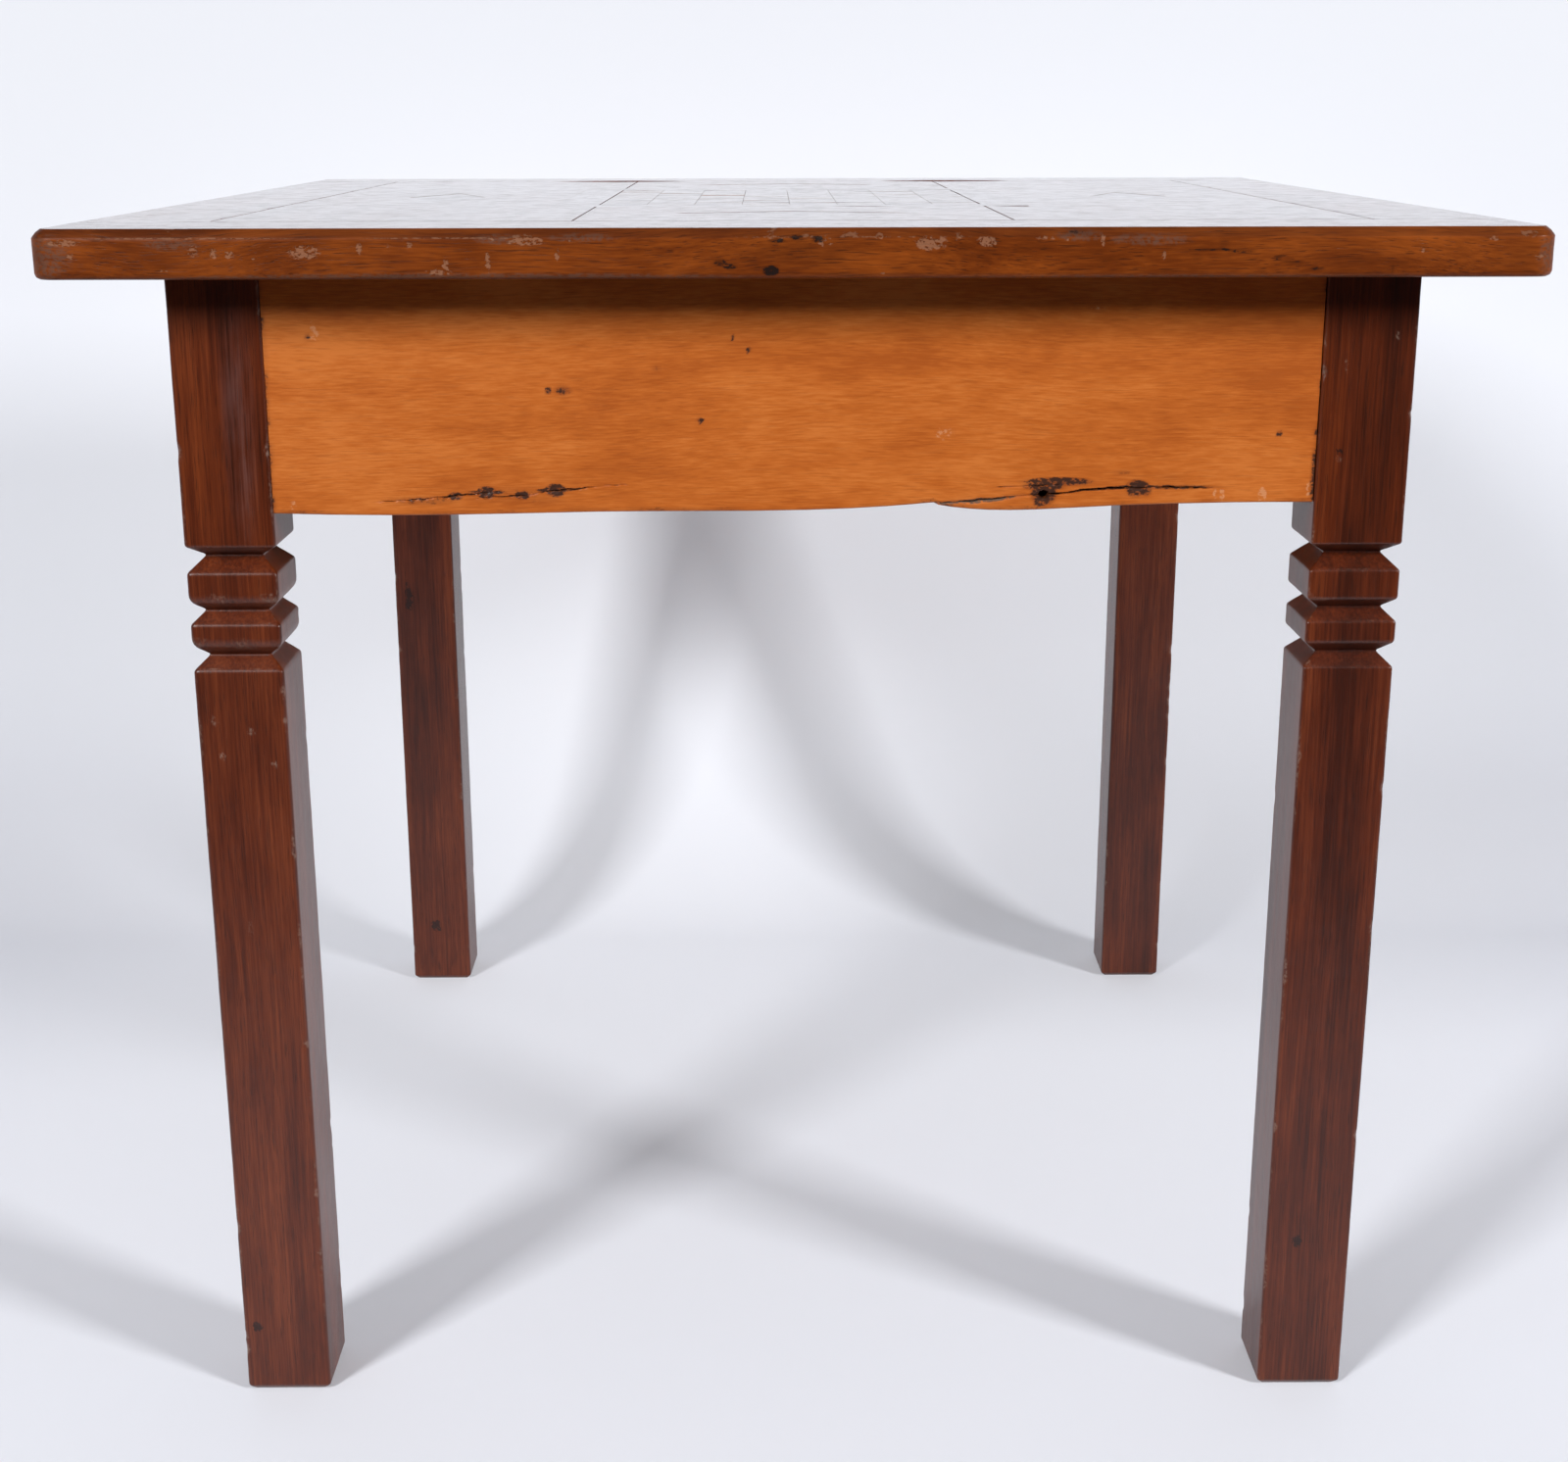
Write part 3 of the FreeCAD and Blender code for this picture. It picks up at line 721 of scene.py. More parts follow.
def make_leg(name, seed, reach, worn, spacing, face_steps):
    """Reach eases the outline's corners, worn those of the bands; spacing sets how close the rings lie."""
    chance = random.Random(seed)
    reaches = [worn if i in band_corners else reach for i in range(len(leg_outline) - 2)]
    stops = filled(eased(leg_outline, reaches), spacing)
    x_side, y_side = leg_places[name]
    x_middle, y_middle = x_side * (frame_half_width - leg_half), y_side * (frame_half_depth - leg_half)
    nicks = [(chance.choice(leg_corners), chance.uniform(0.02, 0.73), chance.uniform(0.0004, 0.0012),
              chance.uniform(0.003, 0.008)) for _ in range(nick_count)]
    marks = {"wear": leg_pale.get(name, []), "stain": leg_dark.get(name, []), "faded": leg_sheen.get(name, [])}
    points, values = [], {key: [] for key in marks}
    for spot, (inset, height) in enumerate(stops):
        before, after = stops[max(spot - 1, 0)], stops[min(spot + 1, len(stops) - 1)]
        bulge = max(0.0, min(1.0, ((before.x + after.x) / 2 - inset) / full_bulge))
        arris = max(0.0005, reach * 1.5 - inset * 0.2)
        ring = leg_ring(leg_half - inset, arris, face_steps)
        for x, y, corner in ring:
            wave = 0.00016 * ripple(seed, x, y, height, 26.0)
            wave += 0.00008 * ripple(seed + 5, x, y, height, 110.0)
            hollow, rub = 0.0, 0.0
            for (nick_x, nick_y), nick_height, deep, long in nicks if corner else []:
                if x * nick_x > 0 and y * nick_y > 0 and abs(height - nick_height) < long:
                    hit = (1 - ((height - nick_height) / long) ** 2) ** 2 * corner
                    hollow += deep * hit
                    rub = max(rub, hit)
            out = Vector((x, y)).normalized() * (wave - hollow)
            points.append((x_middle + x + out.x, y_middle + y + out.y, height))
            edge = max(corner * 0.9, bulge * 0.7) * (0.24 + 0.75 * ripple(seed + 2, x, y, height, 60.0))
            front = y < front_skin - leg_half
            for key, spots in marks.items():
                found = mark_at(spots, x, height) if front else 0.0
                values[key].append(max(edge, rub, found) if key == "wear" else found)
    values["tone"] = [leg_shades.get(name, 0.0)] * len(points)
    return clothe("worked_leg_" + name, points, tube_faces(len(stops), len(ring)), values,
                  "leg_" + name, leg_finish[name])


# Each leg: its name, seed, two reaches, spacing of rings, and steps across a face
worked_legs = [make_leg(*leg) for leg in (
    ("front_left", 11, 0.0016, 0.0048, 0.0025, 25), ("front_right", 15, 0.0012, 0.0018, 0.0025, 25),
    ("rear_right", 19, 0.0013, 0.0020, 0.0040, 11), ("rear_left", 23, 0.0014, 0.0022, 0.0040, 11))]
print("legs:", len(worked_legs), "quads:", [len(leg.data.polygons) for leg in worked_legs])

# %% [markdown]
# The aprons are boards on edge. The front one still has the tree's own lower edge, with a sliver broken
# out and cracks that join knots; one knot has fallen out. Its lower edge is read from the solid, so that
# both agree. Cracks, knots and marks are placed one by one and written in millimetres.

# %% Front apron's edge and marks
apron_set_back, apron_thick, apron_top, apron_low = 0.0015, 0.025, 0.737, 0.596
groove_top, groove_low, groove_in = 0.723, 0.715, 0.008
face_y = apron_set_back - frame_half_depth
edge_top, front_half_clear = 0.6045, 0.312
lower_edge = sorted({(round(v.co.x, 5), round(v.co.z, 5)) for v in nodes["apron_front"].data.vertices
                     if abs(v.co.y - face_y) < 1e-4 and v.co.z < edge_top
                     and abs(v.co.x) < front_half_clear + 1e-5})


def crack_in_metres(path, width, depth):
    return [(x / 1000, z / 1000) for x, z in path], width / 1000, depth / 1000


# Each crack: its path, width and depth
front_cracks = [crack_in_metres(*crack) for crack in (
    ([(-249, 602.8), (-235.6, 603.5), (-202.7, 606.5), (-183.9, 608.4), (-176, 608.7)], 1, 1.8),
    ([(-190, 605), (-162.8, 606.5), (-142.8, 609.6), (-118, 611.8), (-98.2, 613.5)], 0.9, 1.6),
    ([(78, 600.4), (108.4, 602.6), (131.9, 604.9), (149.5, 606.3), (161.2, 607), (173, 608.8),
      (190.6, 610.1), (205.8, 610.3), (225.8, 610.5), (251.6, 609.8)], 1.2, 2.4),
    ([(110.8, 610.8), (137.8, 611), (161.3, 612.3)], 0.9, 1.4))]
torn_path = crack_in_metres([(80, 600.4), (108.4, 602.4), (131.9, 604.6), (146, 606)], 3.6, 1.4)
# Each knot that has shrunk or fallen out: x, z, size and depth
front_pits = [tuple(size / 1000 for size in pit) for pit in (
    (-202.7, 606.3, 1.8, 0.3), (-183.9, 608.4, 2.4, 0.4), (-162.8, 606.6, 1.8, 0.3),
    (-142.8, 609.6, 2.4, 0.4), (149.5, 606.3, 2.6, 11), (205.8, 610.3, 2.4, 0.4))]
front_dark = in_metres([
    (-183.9, 608.6, 15, 1.6, 0.9), (-142.8, 609.9, 15, 1.6, 0.9), (205.8, 610.6, 19, 1.8, 0.9),
    (204, 607.5, 6, 4, 0.7), (211, 608.5, 5, 5, 0.6), (148, 602.5, 6, 5.5, 0.8),
    (-202.7, 606.3, 5.5, 3.2, 1.1), (-183.9, 608.4, 7.2, 4.8, 1.3), (-162.8, 606.6, 5.5, 3.4, 1.1),
    (-142.8, 609.6, 7.6, 5, 1.3), (-172, 607.5, 50, 8, 0.32), (-222, 603.5, 30, 4, 0.45),
    (-150, 603, 22, 4.5, 0.3), (-139, 617.5, 14, 6, 0.22), (149.5, 606.5, 9.5, 8.5, 1.15),
    (158, 614, 26, 3.6, 0.95), (150, 611.5, 16, 4, 0.95), (205.8, 610.3, 8.5, 6.2, 1.2),
    (197, 619.3, 9, 3.5, 0.35), (225.3, 616, 16, 6, 0.25), (228, 610.6, 34, 2.2, 0.6),
    (-145.3, 669.2, 2.6, 2.6, 1.2), (-136.6, 669.2, 7.5, 4, 0.62), (-55.6, 651.2, 2.6, 2.6, 1),
    (-26.9, 692.7, 2.2, 2.2, 1.2), (-36, 699.9, 1.8, 1.8, 1), (-285.5, 701, 2.8, 2.2, 0.7),
    (289, 642.3, 2.4, 2.4, 1), (-81.2, 682.1, 4.5, 4, 0.35),
])
front_pale = in_metres([
    (256.5, 605.5, 2, 5.5, 0.9), (252.5, 606, 1.6, 5, 0.8), (280.8, 605.5, 3.4, 6.5, 0.95),
    (308, 608.5, 2.6, 9, 0.6), (-281.5, 703.5, 4.5, 10, 0.6), (88, 643.5, 12, 7.5, 0.45),
    (178, 717, 7, 1.8, 0.6), (-300, 601, 3, 4, 0.7),
])
print("points of the lower edge:", len(lower_edge), "cracks:", len(front_cracks))

# %% [markdown]
# What the front apron has at one spot of its face: how deep it is cut, how stained or darkened with painted
# shade, and how worn or torn. The cracks could be drawn in the finish alone, but real depth catches the
# light and breaks the lower edge.

# %% Spots of the front apron
crack_zone, crack_taper, end_shade, edge_shade = 0.63, 0.03, 0.004, 0.0025


def edge_height(x):
    """Height of the front apron's lower edge."""
    for (x_start, z_start), (x_end, z_end) in zip(lower_edge, lower_edge[1:]):
        if x_start <= x <= x_end and x_end > x_start:
            return z_start + (z_end - z_start) * (x - x_start) / (x_end - x_start)
    return lower_edge[0][1] if x < 0 else lower_edge[-1][1]


def crack_share(x, z, path, width):
    """One in the middle of a crack and zero outside it; the crack thins out towards its ends."""
    if not path[0][0] <= x <= path[-1][0]:
        return 0.0
    for (x_start, z_start), (x_end, z_end) in zip(path, path[1:]):
        if x_start <= x <= x_end:
            middle = z_start + (z_end - z_start) * (x - x_start) / (x_end - x_start)
            middle += 0.0006 * ripple(3, x, 0, 0, 180.0)
            ends = min(1.0, (x - path[0][0]) / crack_taper, (path[-1][0] - x) / crack_taper)
            half = width * (0.35 + 0.65 * ends) * (1 + 0.5 * ripple(4, x, 0, 0, 90.0)) / 2
            gape = max(0.15, min(1.0, 0.75 + 1.2 * ripple(5, x, 0, 0, 75.0)))
            return max(0.0, 1 - ((z - middle) / half) ** 2) * min(1.0, ends + 0.3) * gape
    return 0.0


def front_marks(x, z, low):
    """Depth, stain and painted shade, wear and torn fibres of the front apron's face at one spot."""
    stain = mark_at(front_dark, x, z)
    deep, torn = 0.0, 0.0
    if z < crack_zone:
        for path, width, depth in front_cracks:
            deep = max(deep, depth * crack_share(x, z, path, width))
            stain = max(stain, 1.1 * crack_share(x, z, path, width * 1.5))
        for pit_x, pit_z, size, depth in front_pits:
            off = math.hypot((x - pit_x) / (size * 1.25), (z - pit_z) / size)
            deep = max(deep, depth * max(0.0, 1 - off * off))
        path, width, depth = torn_path
        torn = crack_share(x, z, path, width)
        deep = max(deep, depth * torn * (0.7 + 0.5 * ripple(9, x * 0.2, 0, z, 900.0)))
    # Next to the legs the board is darkened: low at the right end as grime, elsewhere as painted shade in the
    # joint
    end = front_half_clear - abs(x)
    if end < end_shade:
        darkest = 0.45 if x < 0 or z > 0.65 else 0.8
        stain = max(stain, darkest * (1 - end / end_shade) * (0.8 + ripple(8, x, 0, z, 120.0)))
    # painted shade: a band along the lower edge is darkened
    if z - low < edge_shade:
        stain = max(stain, 0.22 + 0.3 * ripple(6, x, 0, 0, 40.0))
    return deep, stain, mark_at(front_pale, x, z), torn * 1.3


print("deepest pit:", max(depth for *_, depth in front_pits))

# %% [markdown]
# The boards. A ring of points round the board is repeated along its length. Rows lie closer near the lower
# edge and rings closer where the cracks are, because a crack needs several quads across it.

# %% Aprons
apron_arris, round_steps = 0.0012, 4
fine_spans = ((-0.25, -0.09), (0.075, 0.255))
fine_step, front_step, plain_step, least_step = 0.0010, 0.0018, 0.0050, 0.0006
edge_row = 0.0005
# The front board is a little darker than its fellows, and more so to the right
front_shade, front_slope = -0.016, -0.18


def apron_stations(front, clear):
    """Where the rings of a board stand along its clear length."""
    stations = [-clear / 2]
    while stations[-1] < clear / 2 - least_step:
        fine = front and any(start < stations[-1] < end for start, end in fine_spans)
        step = fine_step if fine else front_step if front else plain_step
        stations.append(min(clear / 2, stations[-1] + step))
    return stations


def apron_ring(front, low):
    """Depth and height of the points round a board with its lower edge at low, and how many lie in front."""
    ring = []
    for step in range(round_steps + 1):
        angle = math.pi / 2 * step / round_steps
        ring.append((apron_set_back + apron_arris * (1 - math.sin(angle)),
                     low + apron_arris * (1 - math.cos(angle))))
    rows = [i * edge_row for i in range(4, 46)] if front else [0.004, 0.010]
    heights = [low + row for row in rows]
    count = 62 if front else 22
    heights += [heights[-1] + (apron_top - heights[-1]) * (i + 1) / count for i in range(count)]
    ring += [(apron_set_back, z) for z in heights]
    in_front = len(ring) - 1
    back = apron_set_back + apron_thick
    ring += [(back, apron_top), (back, groove_top), (back - groove_in, groove_top),
             (back - groove_in, groove_low), (back, groove_low), (back, 0.68), (back, 0.64),
             (back, low + apron_arris), (back - apron_arris, low)]
    return ring, in_front


def make_apron(side, turn, clear, frame_depth, seed):
    front = side == "front"
    stations = apron_stations(front, clear)
    points, values = [], {"wear": [], "stain": [], "torn": [], "tone": []}
    turned = Matrix.Rotation(math.radians(turn), 3, "Z")
    for x in stations:
        low = edge_height(x) if front else apron_low + 0.0003 * ripple(seed, x, 0, 0, 9.0)
        ring, in_front = apron_ring(front, low)
        for spot, (y, z) in enumerate(ring):
            shift, stain, wear, torn = 0.0, 0.0, 0.0, 0.0
            if spot < in_front:
                shift = 0.00025 * ripple(seed, x, 0, z, 14.0)
                shift += 0.00012 * ripple(seed + 3, x * 0.3, 0, z, 90.0)
                if front:
                    deep, stain, wear, torn = front_marks(x, z, low)
                    shift += deep
            points.append(turned @ Vector((x, y + max(shift, -0.0004) - frame_depth / 2, z)))
            tone = front_shade + front_slope * x if front else 0.0
            for key, value in (("wear", wear), ("stain", stain), ("torn", torn), ("tone", tone)):
                values[key].append(value)
    return clothe("worked_apron_" + side, points, tube_faces(len(stations), len(ring)), values,
                  "apron_" + side, apron_finish[side])


# Each side: its turn in degrees, the clear length between the legs, and the frame's size across it
apron_sides = [("front", 0, 0.624, 0.780), ("right", 90, 0.670, 0.734),
               ("rear", 180, 0.624, 0.780), ("left", 270, 0.670, 0.734)]
worked_aprons = [make_apron(side, turn, clear, deep, 21 + 5 * i)
                 for i, (side, turn, clear, deep) in enumerate(apron_sides)]
print("aprons:", len(worked_aprons), "quads of the front one:", len(worked_aprons[0].data.polygons))

# %% [markdown]
# The borders of the top carry its edge, which is chamfered above and crisp below; hands and chairs have
# chipped it most along the upper arris. The front one also has a knot and a few dark scars, and long thin
# pale marks along the crisp edge under its chamfer, which paint a highlight line. Its section is an outline
# of inset and height, and the marks are ovals in millimetres again.

# %% Edge of the top
top_half, corner_radius, joint_line = 0.432, 0.014, 0.3484
top_level, top_low = 0.765, 0.737
edge_reach, edge_spacing = 0.0005, 0.0014
edge_outline = [(0.0068, top_level), (0.0054, top_level), (0.0024, top_level - 0.0022),
                (0.0, top_level - 0.0052), (0.0, top_low + 0.0030), (0.0009, top_low + 0.0009),
                (0.0030, top_low)]
edge_section = [tuple(spot) for spot in filled(eased(edge_outline, [edge_reach] * 5, 2), edge_spacing)]
edge_chips_and_highlight = in_metres([
    (-338, 753, 5, 5, 0.55), (-326.8, 751.4, 3.4, 4.4, 0.75), (-317.7, 750.8, 3.6, 4, 0.75),
    (-275.8, 752, 13, 5.8, 0.66), (-410, 757.5, 14, 3, 0.62), (-406.8, 750, 3.2, 2.2, 0.7),
    (-304, 748.5, 2.2, 1.6, 0.6), (-355, 742, 4.2, 1.8, 0.52), (-244.5, 754, 2.8, 4.2, 0.75),
    (-228.7, 755.2, 1.8, 3, 0.6), (-216.6, 755.7, 3, 3.2, 0.66), (-196.7, 745, 2.8, 5.6, 0.7),
    (-200, 741.2, 11.5, 2.4, 0.66), (-172.8, 746.7, 2.2, 8.8, 0.72), (-151.5, 758.5, 14, 4.2, 0.85),
    (-170, 759.7, 2, 2.4, 0.7), (-133.7, 751, 1.9, 5.2, 0.72), (-126.4, 758, 1.5, 2.4, 0.6),
    (-10.3, 759.2, 6, 2.2, 0.58), (6.7, 760.5, 4.2, 1.6, 0.7), (17.5, 757.8, 7.2, 4.8, 0.58),
    (31.5, 761.2, 6.6, 2.4, 0.75), (47.5, 760.5, 3, 2.6, 0.7), (76.5, 756.7, 12.5, 5.8, 0.76),
    (92.2, 760, 5, 3, 0.7), (108, 757.3, 7.5, 3.6, 1), (141.5, 759.2, 8.5, 1.9, 0.62),
    (173.5, 758, 1.9, 4.7, 0.8), (208, 749.8, 1.6, 3.7, 0.66), (153.5, 758.5, 1.6, 1.6, 0.6),
    (393.5, 758.5, 3.7, 1.9, 0.75), (413.5, 761, 7.8, 2.5, 0.75), (420, 748.5, 5.2, 1.8, 0.7),
    # the last three marks, long and thin along the crisp edge, are a painted highlight; the others are chips
    (354, 752, 2.2, 2.4, 0.52), (49.5, 740, 2, 1.4, 0.62), (-345, 759.8, 85, 0.6, 0.95),
    (-200, 759.8, 70, 0.6, 0.7), (30, 760, 130, 0.5, 0.5),
])
edge_dark = in_metres([
    (-13.5, 741.5, 5.8, 3.6, 1.5), (-42, 746.2, 5.5, 3, 0.85), (-36.5, 743.8, 5.5, 2.6, 0.85),
    (-10, 758.2, 6.7, 1.7, 1.2), (1, 760, 5.2, 1.5, 1.1), (13, 758.8, 5.6, 2.6, 1), (4, 752, 50, 14, 0.42),
    (160, 762.5, 12, 2.6, 0.6), (236, 752.5, 23, 1.2, 0.8), (252, 751.8, 12, 1.2, 0.8),
    (272, 747.8, 3.7, 1.9, 0.7), (281, 745.5, 9.5, 1.2, 0.72), (294, 742, 4.6, 1.9, 0.72),
    (337.5, 741.5, 1.5, 4.6, 0.6), (227, 748, 5.2, 1.7, 0.5), (241.5, 756, 4.5, 4.5, 0.45),
    (410, 748, 22, 12, 0.35), (-300, 754.5, 70, 6, 0.2),
])
edge_faded = in_metres([
    (-424, 750, 22, 16, 0.8), (-350, 756.5, 22, 4.2, 0.6), (-166, 759, 17, 3.8, 0.8),
    (-120, 760, 25, 3.3, 0.7), (160, 760.6, 17, 4.2, 0.8), (200, 758.5, 31, 4.8, 0.65),
    (428, 750, 11, 14, 0.7), (-190, 737.5, 210, 3.6, 1), (220, 737.2, 210, 2.2, 0.7),
])
print("points of the edge:", len(edge_section), "marks:", len(edge_chips_and_highlight + edge_dark + edge_faded))

# %% [markdown]
# Points of a border are all gathered in the place of the front one and turned to their side at the end, so
# the same few lines serve four boards. Along the joint the upper edge is eased a little, and the rear border
# has cupped and stands proud there in two places. On the edge, noise bites small chips out of the arris.

# %% Border points
border_rows, joint_ease, bite_reach, arris_zone = 12, 0.0006, 0.009, 0.004
cup_height, cup_middle, cup_half = 0.0006, 0.145, 0.060
border_shade, border_slope = 0.005, 0.08


def row_place(start, row):
    """Where one lengthwise row lies between the edge and the joint; the last two lie close."""
    if row == border_rows:
        return -joint_line
    return start + (-joint_line - joint_ease - start) * row / (border_rows - 1)


def joint_drop(x, row, cupped):
    """How far the upper face is eased down along the joint; a cupped border stands proud of it instead."""
    if row < border_rows - 1:
        return 0.0
    proud = cup_height * max(0.0, 1 - ((abs(x) - cup_middle) / cup_half) ** 2) if cupped else 0.0
    ease = max(0.0, 0.0001 + 0.0004 * ripple(61, x, 0.0, 0.0, 30.0)) if row == border_rows else 0.0
    return ease - proud


class Border:
    """Collects the points of one border, in the place of the front one, before it is turned to its side."""

    def __init__(self, name, turn, seed, pale=(), dark=(), faded=()):
        self.name, self.turn, self.seed = name, turn, seed
        self.marks = {"wear": pale, "stain": dark, "faded": faded}
        self.points, self.values = [], {key: [] for key in (*self.marks, "tone")}

    def add(self, x, y, z, inward):
        on_edge = inward != (0.0, 0.0)
        rough = ripple(self.seed, x, y, 0.0, 55.0) + 0.6 * ripple(self.seed + 1, x, y, 0.0, 160.0)
        bite = max(0.0, rough - 0.55) * max(0.0, 1 - (top_level - z) / bite_reach) if on_edge else 0.0
        found = {key: mark_at(marks, x, z) if on_edge else 0.0 for key, marks in self.marks.items()}
        found["wear"] = max(found["wear"], bite * 1.6)
        shift, drop = 0.0, 0.0
        if on_edge:
            shift = 0.0002 + 0.0011 * bite + 0.0003 * min(found["wear"], 1.0)
            shift += 0.0002 * ripple(self.seed + 4, x, y, z, 20.0)
            shift += 0.0001 * ripple(self.seed + 6, x, y, z, 120.0)
            drop = 0.0006 * bite if z > top_level - arris_zone else 0.0
        self.points.append(Vector((x + inward[0] * shift, y + inward[1] * shift, z - drop)))
        found["tone"] = border_shade + border_slope * x
        for key, value in found.items():
            self.values[key].append(value)

    def finish(self, faces):
        turned = Matrix.Rotation(math.radians(self.turn), 3, "Z")
        return clothe("worked_" + self.name, [turned @ point for point in self.points], faces,
                      self.values, self.name, top_finish[self.name])


print("rows on each face of a border:", border_rows + 1)

# %% [markdown]
# The long borders run from side to side and carry both corners of the top. The edge's section is swept
# along the front and round the corners; a grid of quads on each end closes the gap down to the joint.

# %% Long borders
corner_steps = 8


def make_long_border(name, turn, seed, count, cupped=False, marks=()):
    border = Border(name, turn, seed, *marks)
    corner = top_half - corner_radius
    quarter = [math.pi / 2 * i / corner_steps for i in range(corner_steps + 1)]
    columns = [(-1, math.pi + angle, 0.0) for angle in quarter]
    columns += [(0, 0.0, -corner + 2 * corner * i / count) for i in range(1, count)]
    columns += [(1, 1.5 * math.pi + angle, 0.0) for angle in quarter]

    def rim(side, angle, along, inset):
        if side == 0:
            return along, inset - top_half, (0.0, 1.0)
        x = side * corner + (corner_radius - inset) * math.cos(angle)
        return x, -corner + (corner_radius - inset) * math.sin(angle), (-math.cos(angle), -math.sin(angle))

    size = 2 * (border_rows + 1) + len(edge_section) - 2
    for column in columns:
        x, y, inward = rim(*column, edge_section[0][0])
        for row in range(border_rows, -1, -1):
            drop = joint_drop(x, row, cupped)
            border.add(x, row_place(y, row), top_level - drop, inward if row == 0 else (0.0, 0.0))
        for inset, z in edge_section[1:-1]:
            x, y, inward = rim(*column, inset)
            border.add(x, y, z, inward)
        x, y, _ = rim(*column, edge_section[-1][0])
        for row in range(border_rows + 1):
            border.add(x, row_place(y, row), top_low, (0.0, 0.0))
    faces = tube_faces(len(columns), size)[:-2]
    last = len(edge_section) - 1
    for side, base in ((-1, 0), (1, (len(columns) - 1) * size)):
        grid = {}
        for row in range(border_rows + 1):
            for step, (inset, z) in enumerate(edge_section):
                if step == 0:
                    grid[row, step] = base + border_rows - row
                elif step == last:
                    grid[row, step] = base + border_rows + last + row
                elif row == 0:
                    grid[row, step] = base + border_rows + step
                else:
                    grid[row, step] = len(border.points)
                    border.add(side * (top_half - inset), row_place(-corner, row), z, (-side, 0.0))
        for row in range(border_rows):
            for step in range(last):
                faces.append((grid[row, step], grid[row + 1, step],
                              grid[row + 1, step + 1], grid[row, step + 1]))
        faces.append(tuple(grid[border_rows, step] for step in range(last + 1)))
    return border.finish(faces)


worked_borders = [make_long_border("top_border_front", 0, 31, 800, marks=(edge_chips_and_highlight, edge_dark, edge_faded)),
                  make_long_border("top_border_rear", 180, 37, 400, cupped=True)]
print("quads of the long borders:", [len(border.data.polygons) for border in worked_borders])

# %% [markdown]
# The side borders lie between the long ones, so they are plain tubes: one section, swept from joint to joint.

# %% Side borders
side_stops = 270


def make_side_border(name, turn, seed):
    border = Border(name, turn, seed)
    for i in range(side_stops + 1):
        x = joint_line * (2 * i / side_stops - 1)
        first = len(border.points)
        for row in range(border_rows, 0, -1):
            drop = joint_drop(x, row, False)
            border.add(x, row_place(edge_section[0][0] - top_half, row), top_level - drop, (0.0, 0.0))
        for inset, z in edge_section:
            border.add(x, inset - top_half, z, (0.0, 1.0))
        for row in range(1, border_rows + 1):
            border.add(x, row_place(edge_section[-1][0] - top_half, row), top_low, (0.0, 0.0))
    return border.finish(tube_faces(side_stops + 1, len(border.points) - first))


worked_borders += [make_side_border("top_border_right", 90, 43), make_side_border("top_border_left", 270, 47)]
print("borders:", len(worked_borders))

# %% [markdown]
# Inlay was cut as thin plates and glued in one by one, so each sits a hair higher, lower or askew, with
# eased edges and a fine line round it. One flat face with a pattern would miss that glitter, so each plate
# is a patch of quads between four corners, with walls down to the floor of its recess and a tone of its own.

# %% Inlay plates
inlay_floor, inlay_gap, inlay_ease, rim_drop = 0.7612, 0.00004, 0.00012, 0.00005


class Inlay:
    """Collects the plates of one solid."""

    def __init__(self):
        self.points, self.faces, self.tone = [], [], []

    def plate(self, corners, columns, rows, tone, lift):
        corners = [Vector(corner) for corner in corners]

        def shares(length, count):
            gap, ease = inlay_gap / length, (inlay_gap + inlay_ease) / length
            inner = [2 * ease + (1 - 4 * ease) * i / count for i in range(count + 1)]
            return [gap, ease] + inner + [1 - ease, 1 - gap]

        across = shares((corners[1] - corners[0]).length, columns)
        along = shares((corners[3] - corners[0]).length, rows)
        wide, tall = len(across), len(along)
        first = len(self.points)
        for j, t in enumerate(along):
            for i, s in enumerate(across):
                x, y = corners[0].lerp(corners[1], s).lerp(corners[3].lerp(corners[2], s), t)
                on_rim = i in (0, wide - 1) or j in (0, tall - 1)
                self.points.append((x, y, top_level + lift(x, y) - (rim_drop if on_rim else 0.0)))
        for j in range(tall - 1):
            for i in range(wide - 1):
                spot = first + j * wide + i
                self.faces.append((spot, spot + 1, spot + wide + 1, spot + wide))
        rim = [first + i for i in range(wide)] + [first + j * wide + wide - 1 for j in range(1, tall)]
        rim += [first + (tall - 1) * wide + i for i in range(wide - 2, -1, -1)]
        rim += [first + j * wide for j in range(tall - 2, 0, -1)]
        low = len(self.points)
        self.points += [(self.points[spot][0], self.points[spot][1], inlay_floor) for spot in rim]
        for i, spot in enumerate(rim):
            after = (i + 1) % len(rim)
            self.faces.append((spot, rim[after], low + after, low + i))
        self.faces.append(tuple(range(low, low + len(rim))))
        self.tone += [tone] * (len(self.points) - first)

    def finish(self, node, slot, finish):
        return clothe("worked_" + node, self.points, self.faces, {"tone": self.tone}, node, finish)


print("fine line round each plate, in millimetres:", 2000 * inlay_gap)

# %% [markdown]
# The chequered board: 64 squares in two woods. Each has its own small tilt, height and tone, drawn from a
# seeded list of chances, so that the board comes out the same every time.

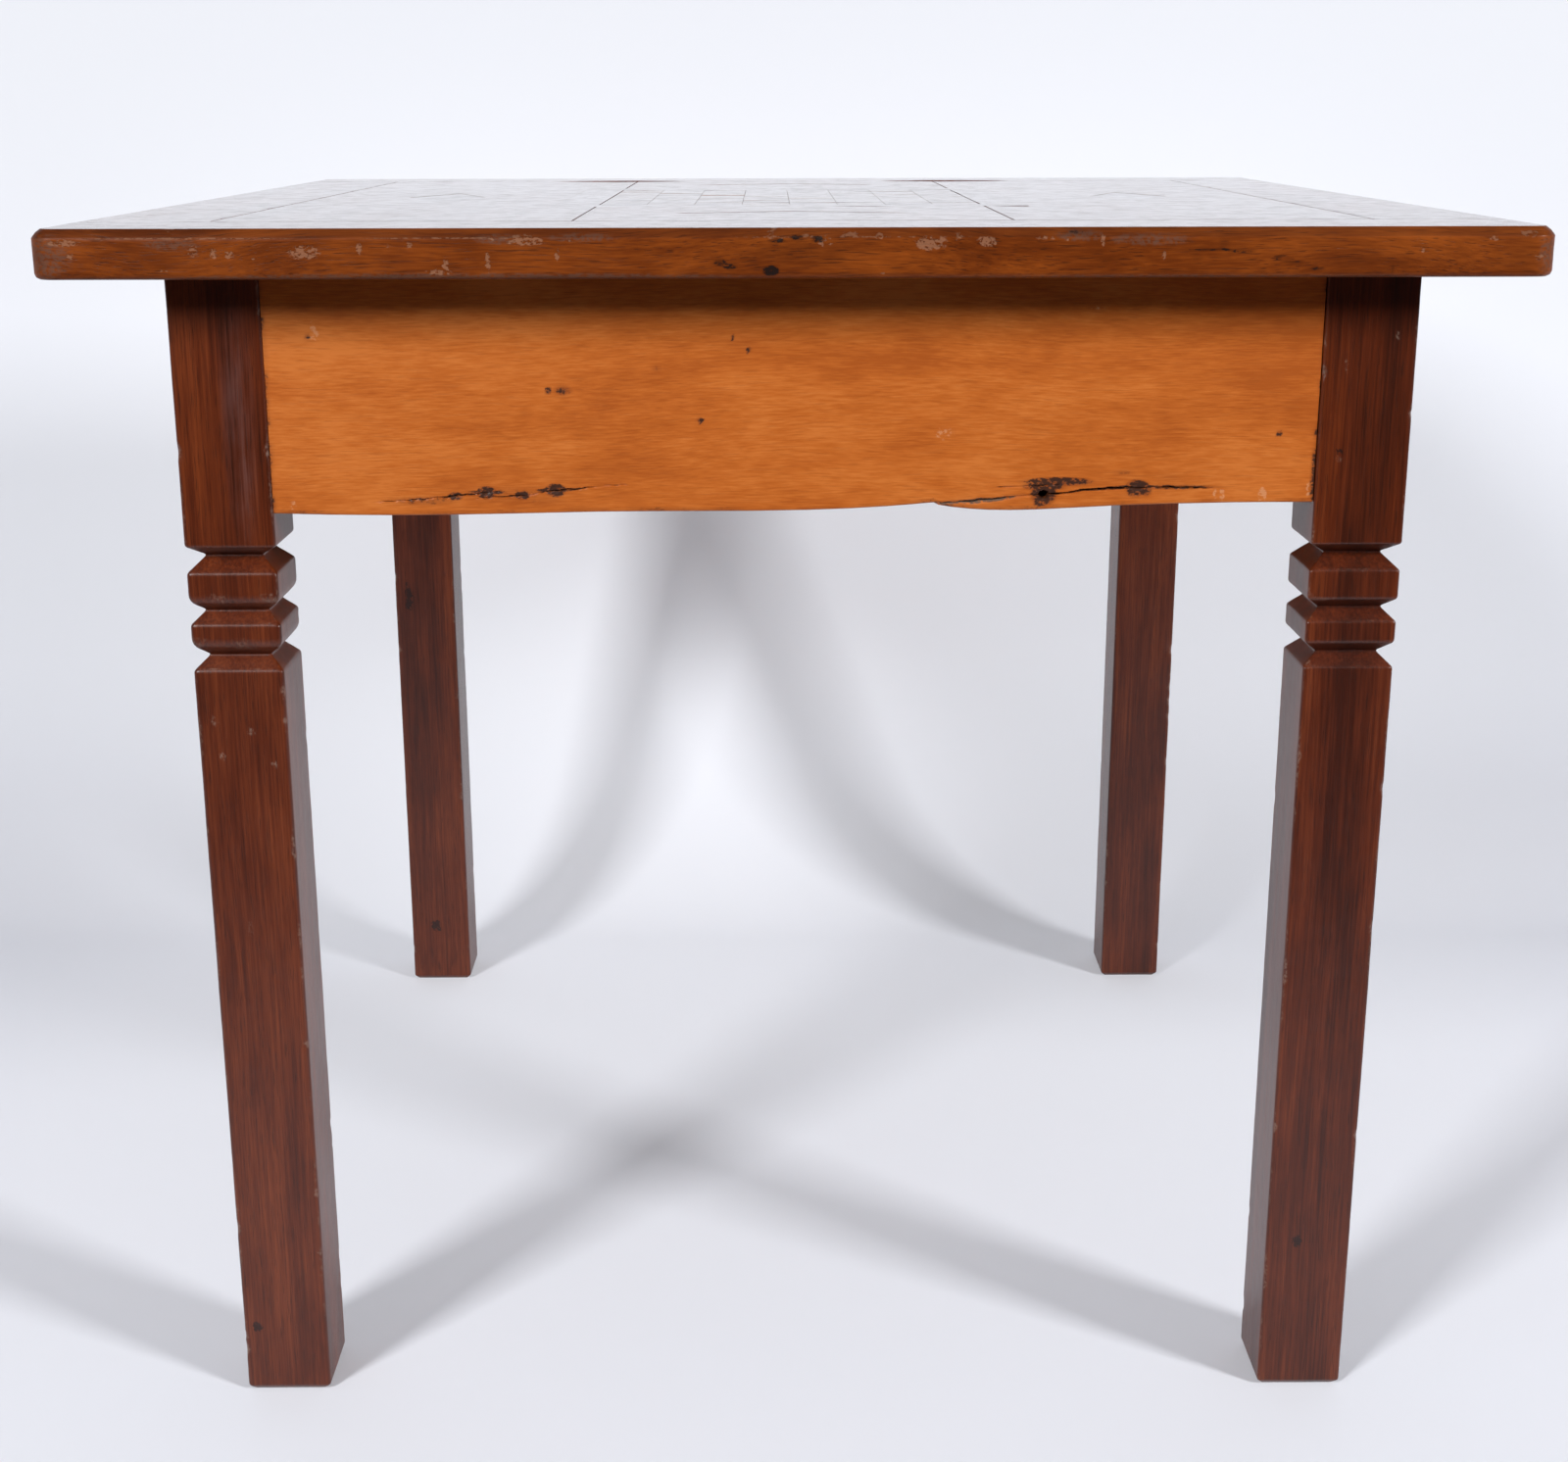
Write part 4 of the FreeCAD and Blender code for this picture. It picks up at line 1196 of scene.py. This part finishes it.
# %% Chequered board
board_half, square, board_play, tilt = 0.132, 0.033, 0.0007, 0.0012
chance = random.Random(5)
groups = (Inlay(), Inlay())
for column in range(8):
    for row in range(8):
        x_low, y_low = column * square - board_half, row * square - board_half
        x_high = x_low + square - (board_play if column == 7 else 0.0)
        x_low += board_play if column == 0 else 0.0
        slope_x, slope_y = chance.gauss(0, tilt), chance.gauss(0, tilt)
        base = chance.uniform(-0.00008, 0.00004)
        middle = Vector((x_low + square / 2, y_low + square / 2))

        def lift(x, y):
            return base + slope_x * (x - middle.x) + slope_y * (y - middle.y)

        corners = [(x_low, y_low), (x_high, y_low), (x_high, y_low + square), (x_low, y_low + square)]
        groups[(column + row) % 2].plate(corners, 2, 2, chance.gauss(0, 0.05), lift)
worked_inlay = [groups[0].finish("board_squares_dark", "dark_inlay", dark_inlay),
                groups[1].finish("board_squares_light", "light_inlay", light_inlay)]
print("quads of the squares:", [len(inlay.data.polygons) for inlay in worked_inlay])

# %% [markdown]
# Four mitred strips edge the board and four lozenges lie between it and the borders. One side is described,
# and turned to the other three. The edging has lifted here and there, so it follows a slow noise.

# %% Edging and lozenges
edging_half, lozenge_middle, lozenge_long, lozenge_wide, lozenge_sunk = 0.162, 0.255, 0.075, 0.028, 0.0001
strip_corners = [(-edging_half, -edging_half), (edging_half, -edging_half),
                 (board_half, -board_half), (-board_half, -board_half)]
lozenge_corners = [(-lozenge_long, -lozenge_middle), (0.0, -lozenge_middle - lozenge_wide),
                   (lozenge_long, -lozenge_middle), (0.0, lozenge_wide - lozenge_middle)]


def edging_lift(x, y):
    return 0.0009 * max(0.0, ripple(52, x, y, 0.0, 16.0) - 0.15)


for i, side in enumerate(("front", "right", "rear", "left")):
    turned = Matrix.Rotation(math.pi / 2 * i, 2)
    strip, lozenge = Inlay(), Inlay()
    strip.plate([turned @ Vector(corner) for corner in strip_corners], 64, 4, 0.03 * (i - 1.5), edging_lift)
    lozenge.plate([turned @ Vector(corner) for corner in lozenge_corners], 6, 6, 0.02 * (1.5 - i),
                  lambda x, y: -lozenge_sunk)
    edging = "board_edging_" + side
    worked_inlay.append(strip.finish(edging, "edging_wood", finish_for(edging)))
    worked_inlay.append(lozenge.finish("lozenge_inlay_" + side, "dark_inlay", dark_inlay))
print("inlay:", len(worked_inlay))

# %% [markdown]
# Underneath, blocks, buttons and battens keep the solids' shape; they were sawn and then eased with a few
# strokes of a plane. They are seldom seen, so modifiers do: a weld joins the solid's faces along their
# edges, and a bevel rounds them.

# %% Eased edges underneath
eased_solids = [solid for name, solid in nodes.items()
                if name.startswith(("corner_block", "batten", "top_button")) and not name.endswith("nails")]
for solid in eased_solids:
    weld = solid.modifiers.new("weld", "WELD")
    weld.merge_threshold = 0.00001
    ease = solid.modifiers.new("ease", "BEVEL")
    ease.width = 0.0009
    ease.segments = 2
    ease.limit_method = "ANGLE"
    ease.angle_limit = math.radians(40)
print("eased solids:", len(eased_solids))
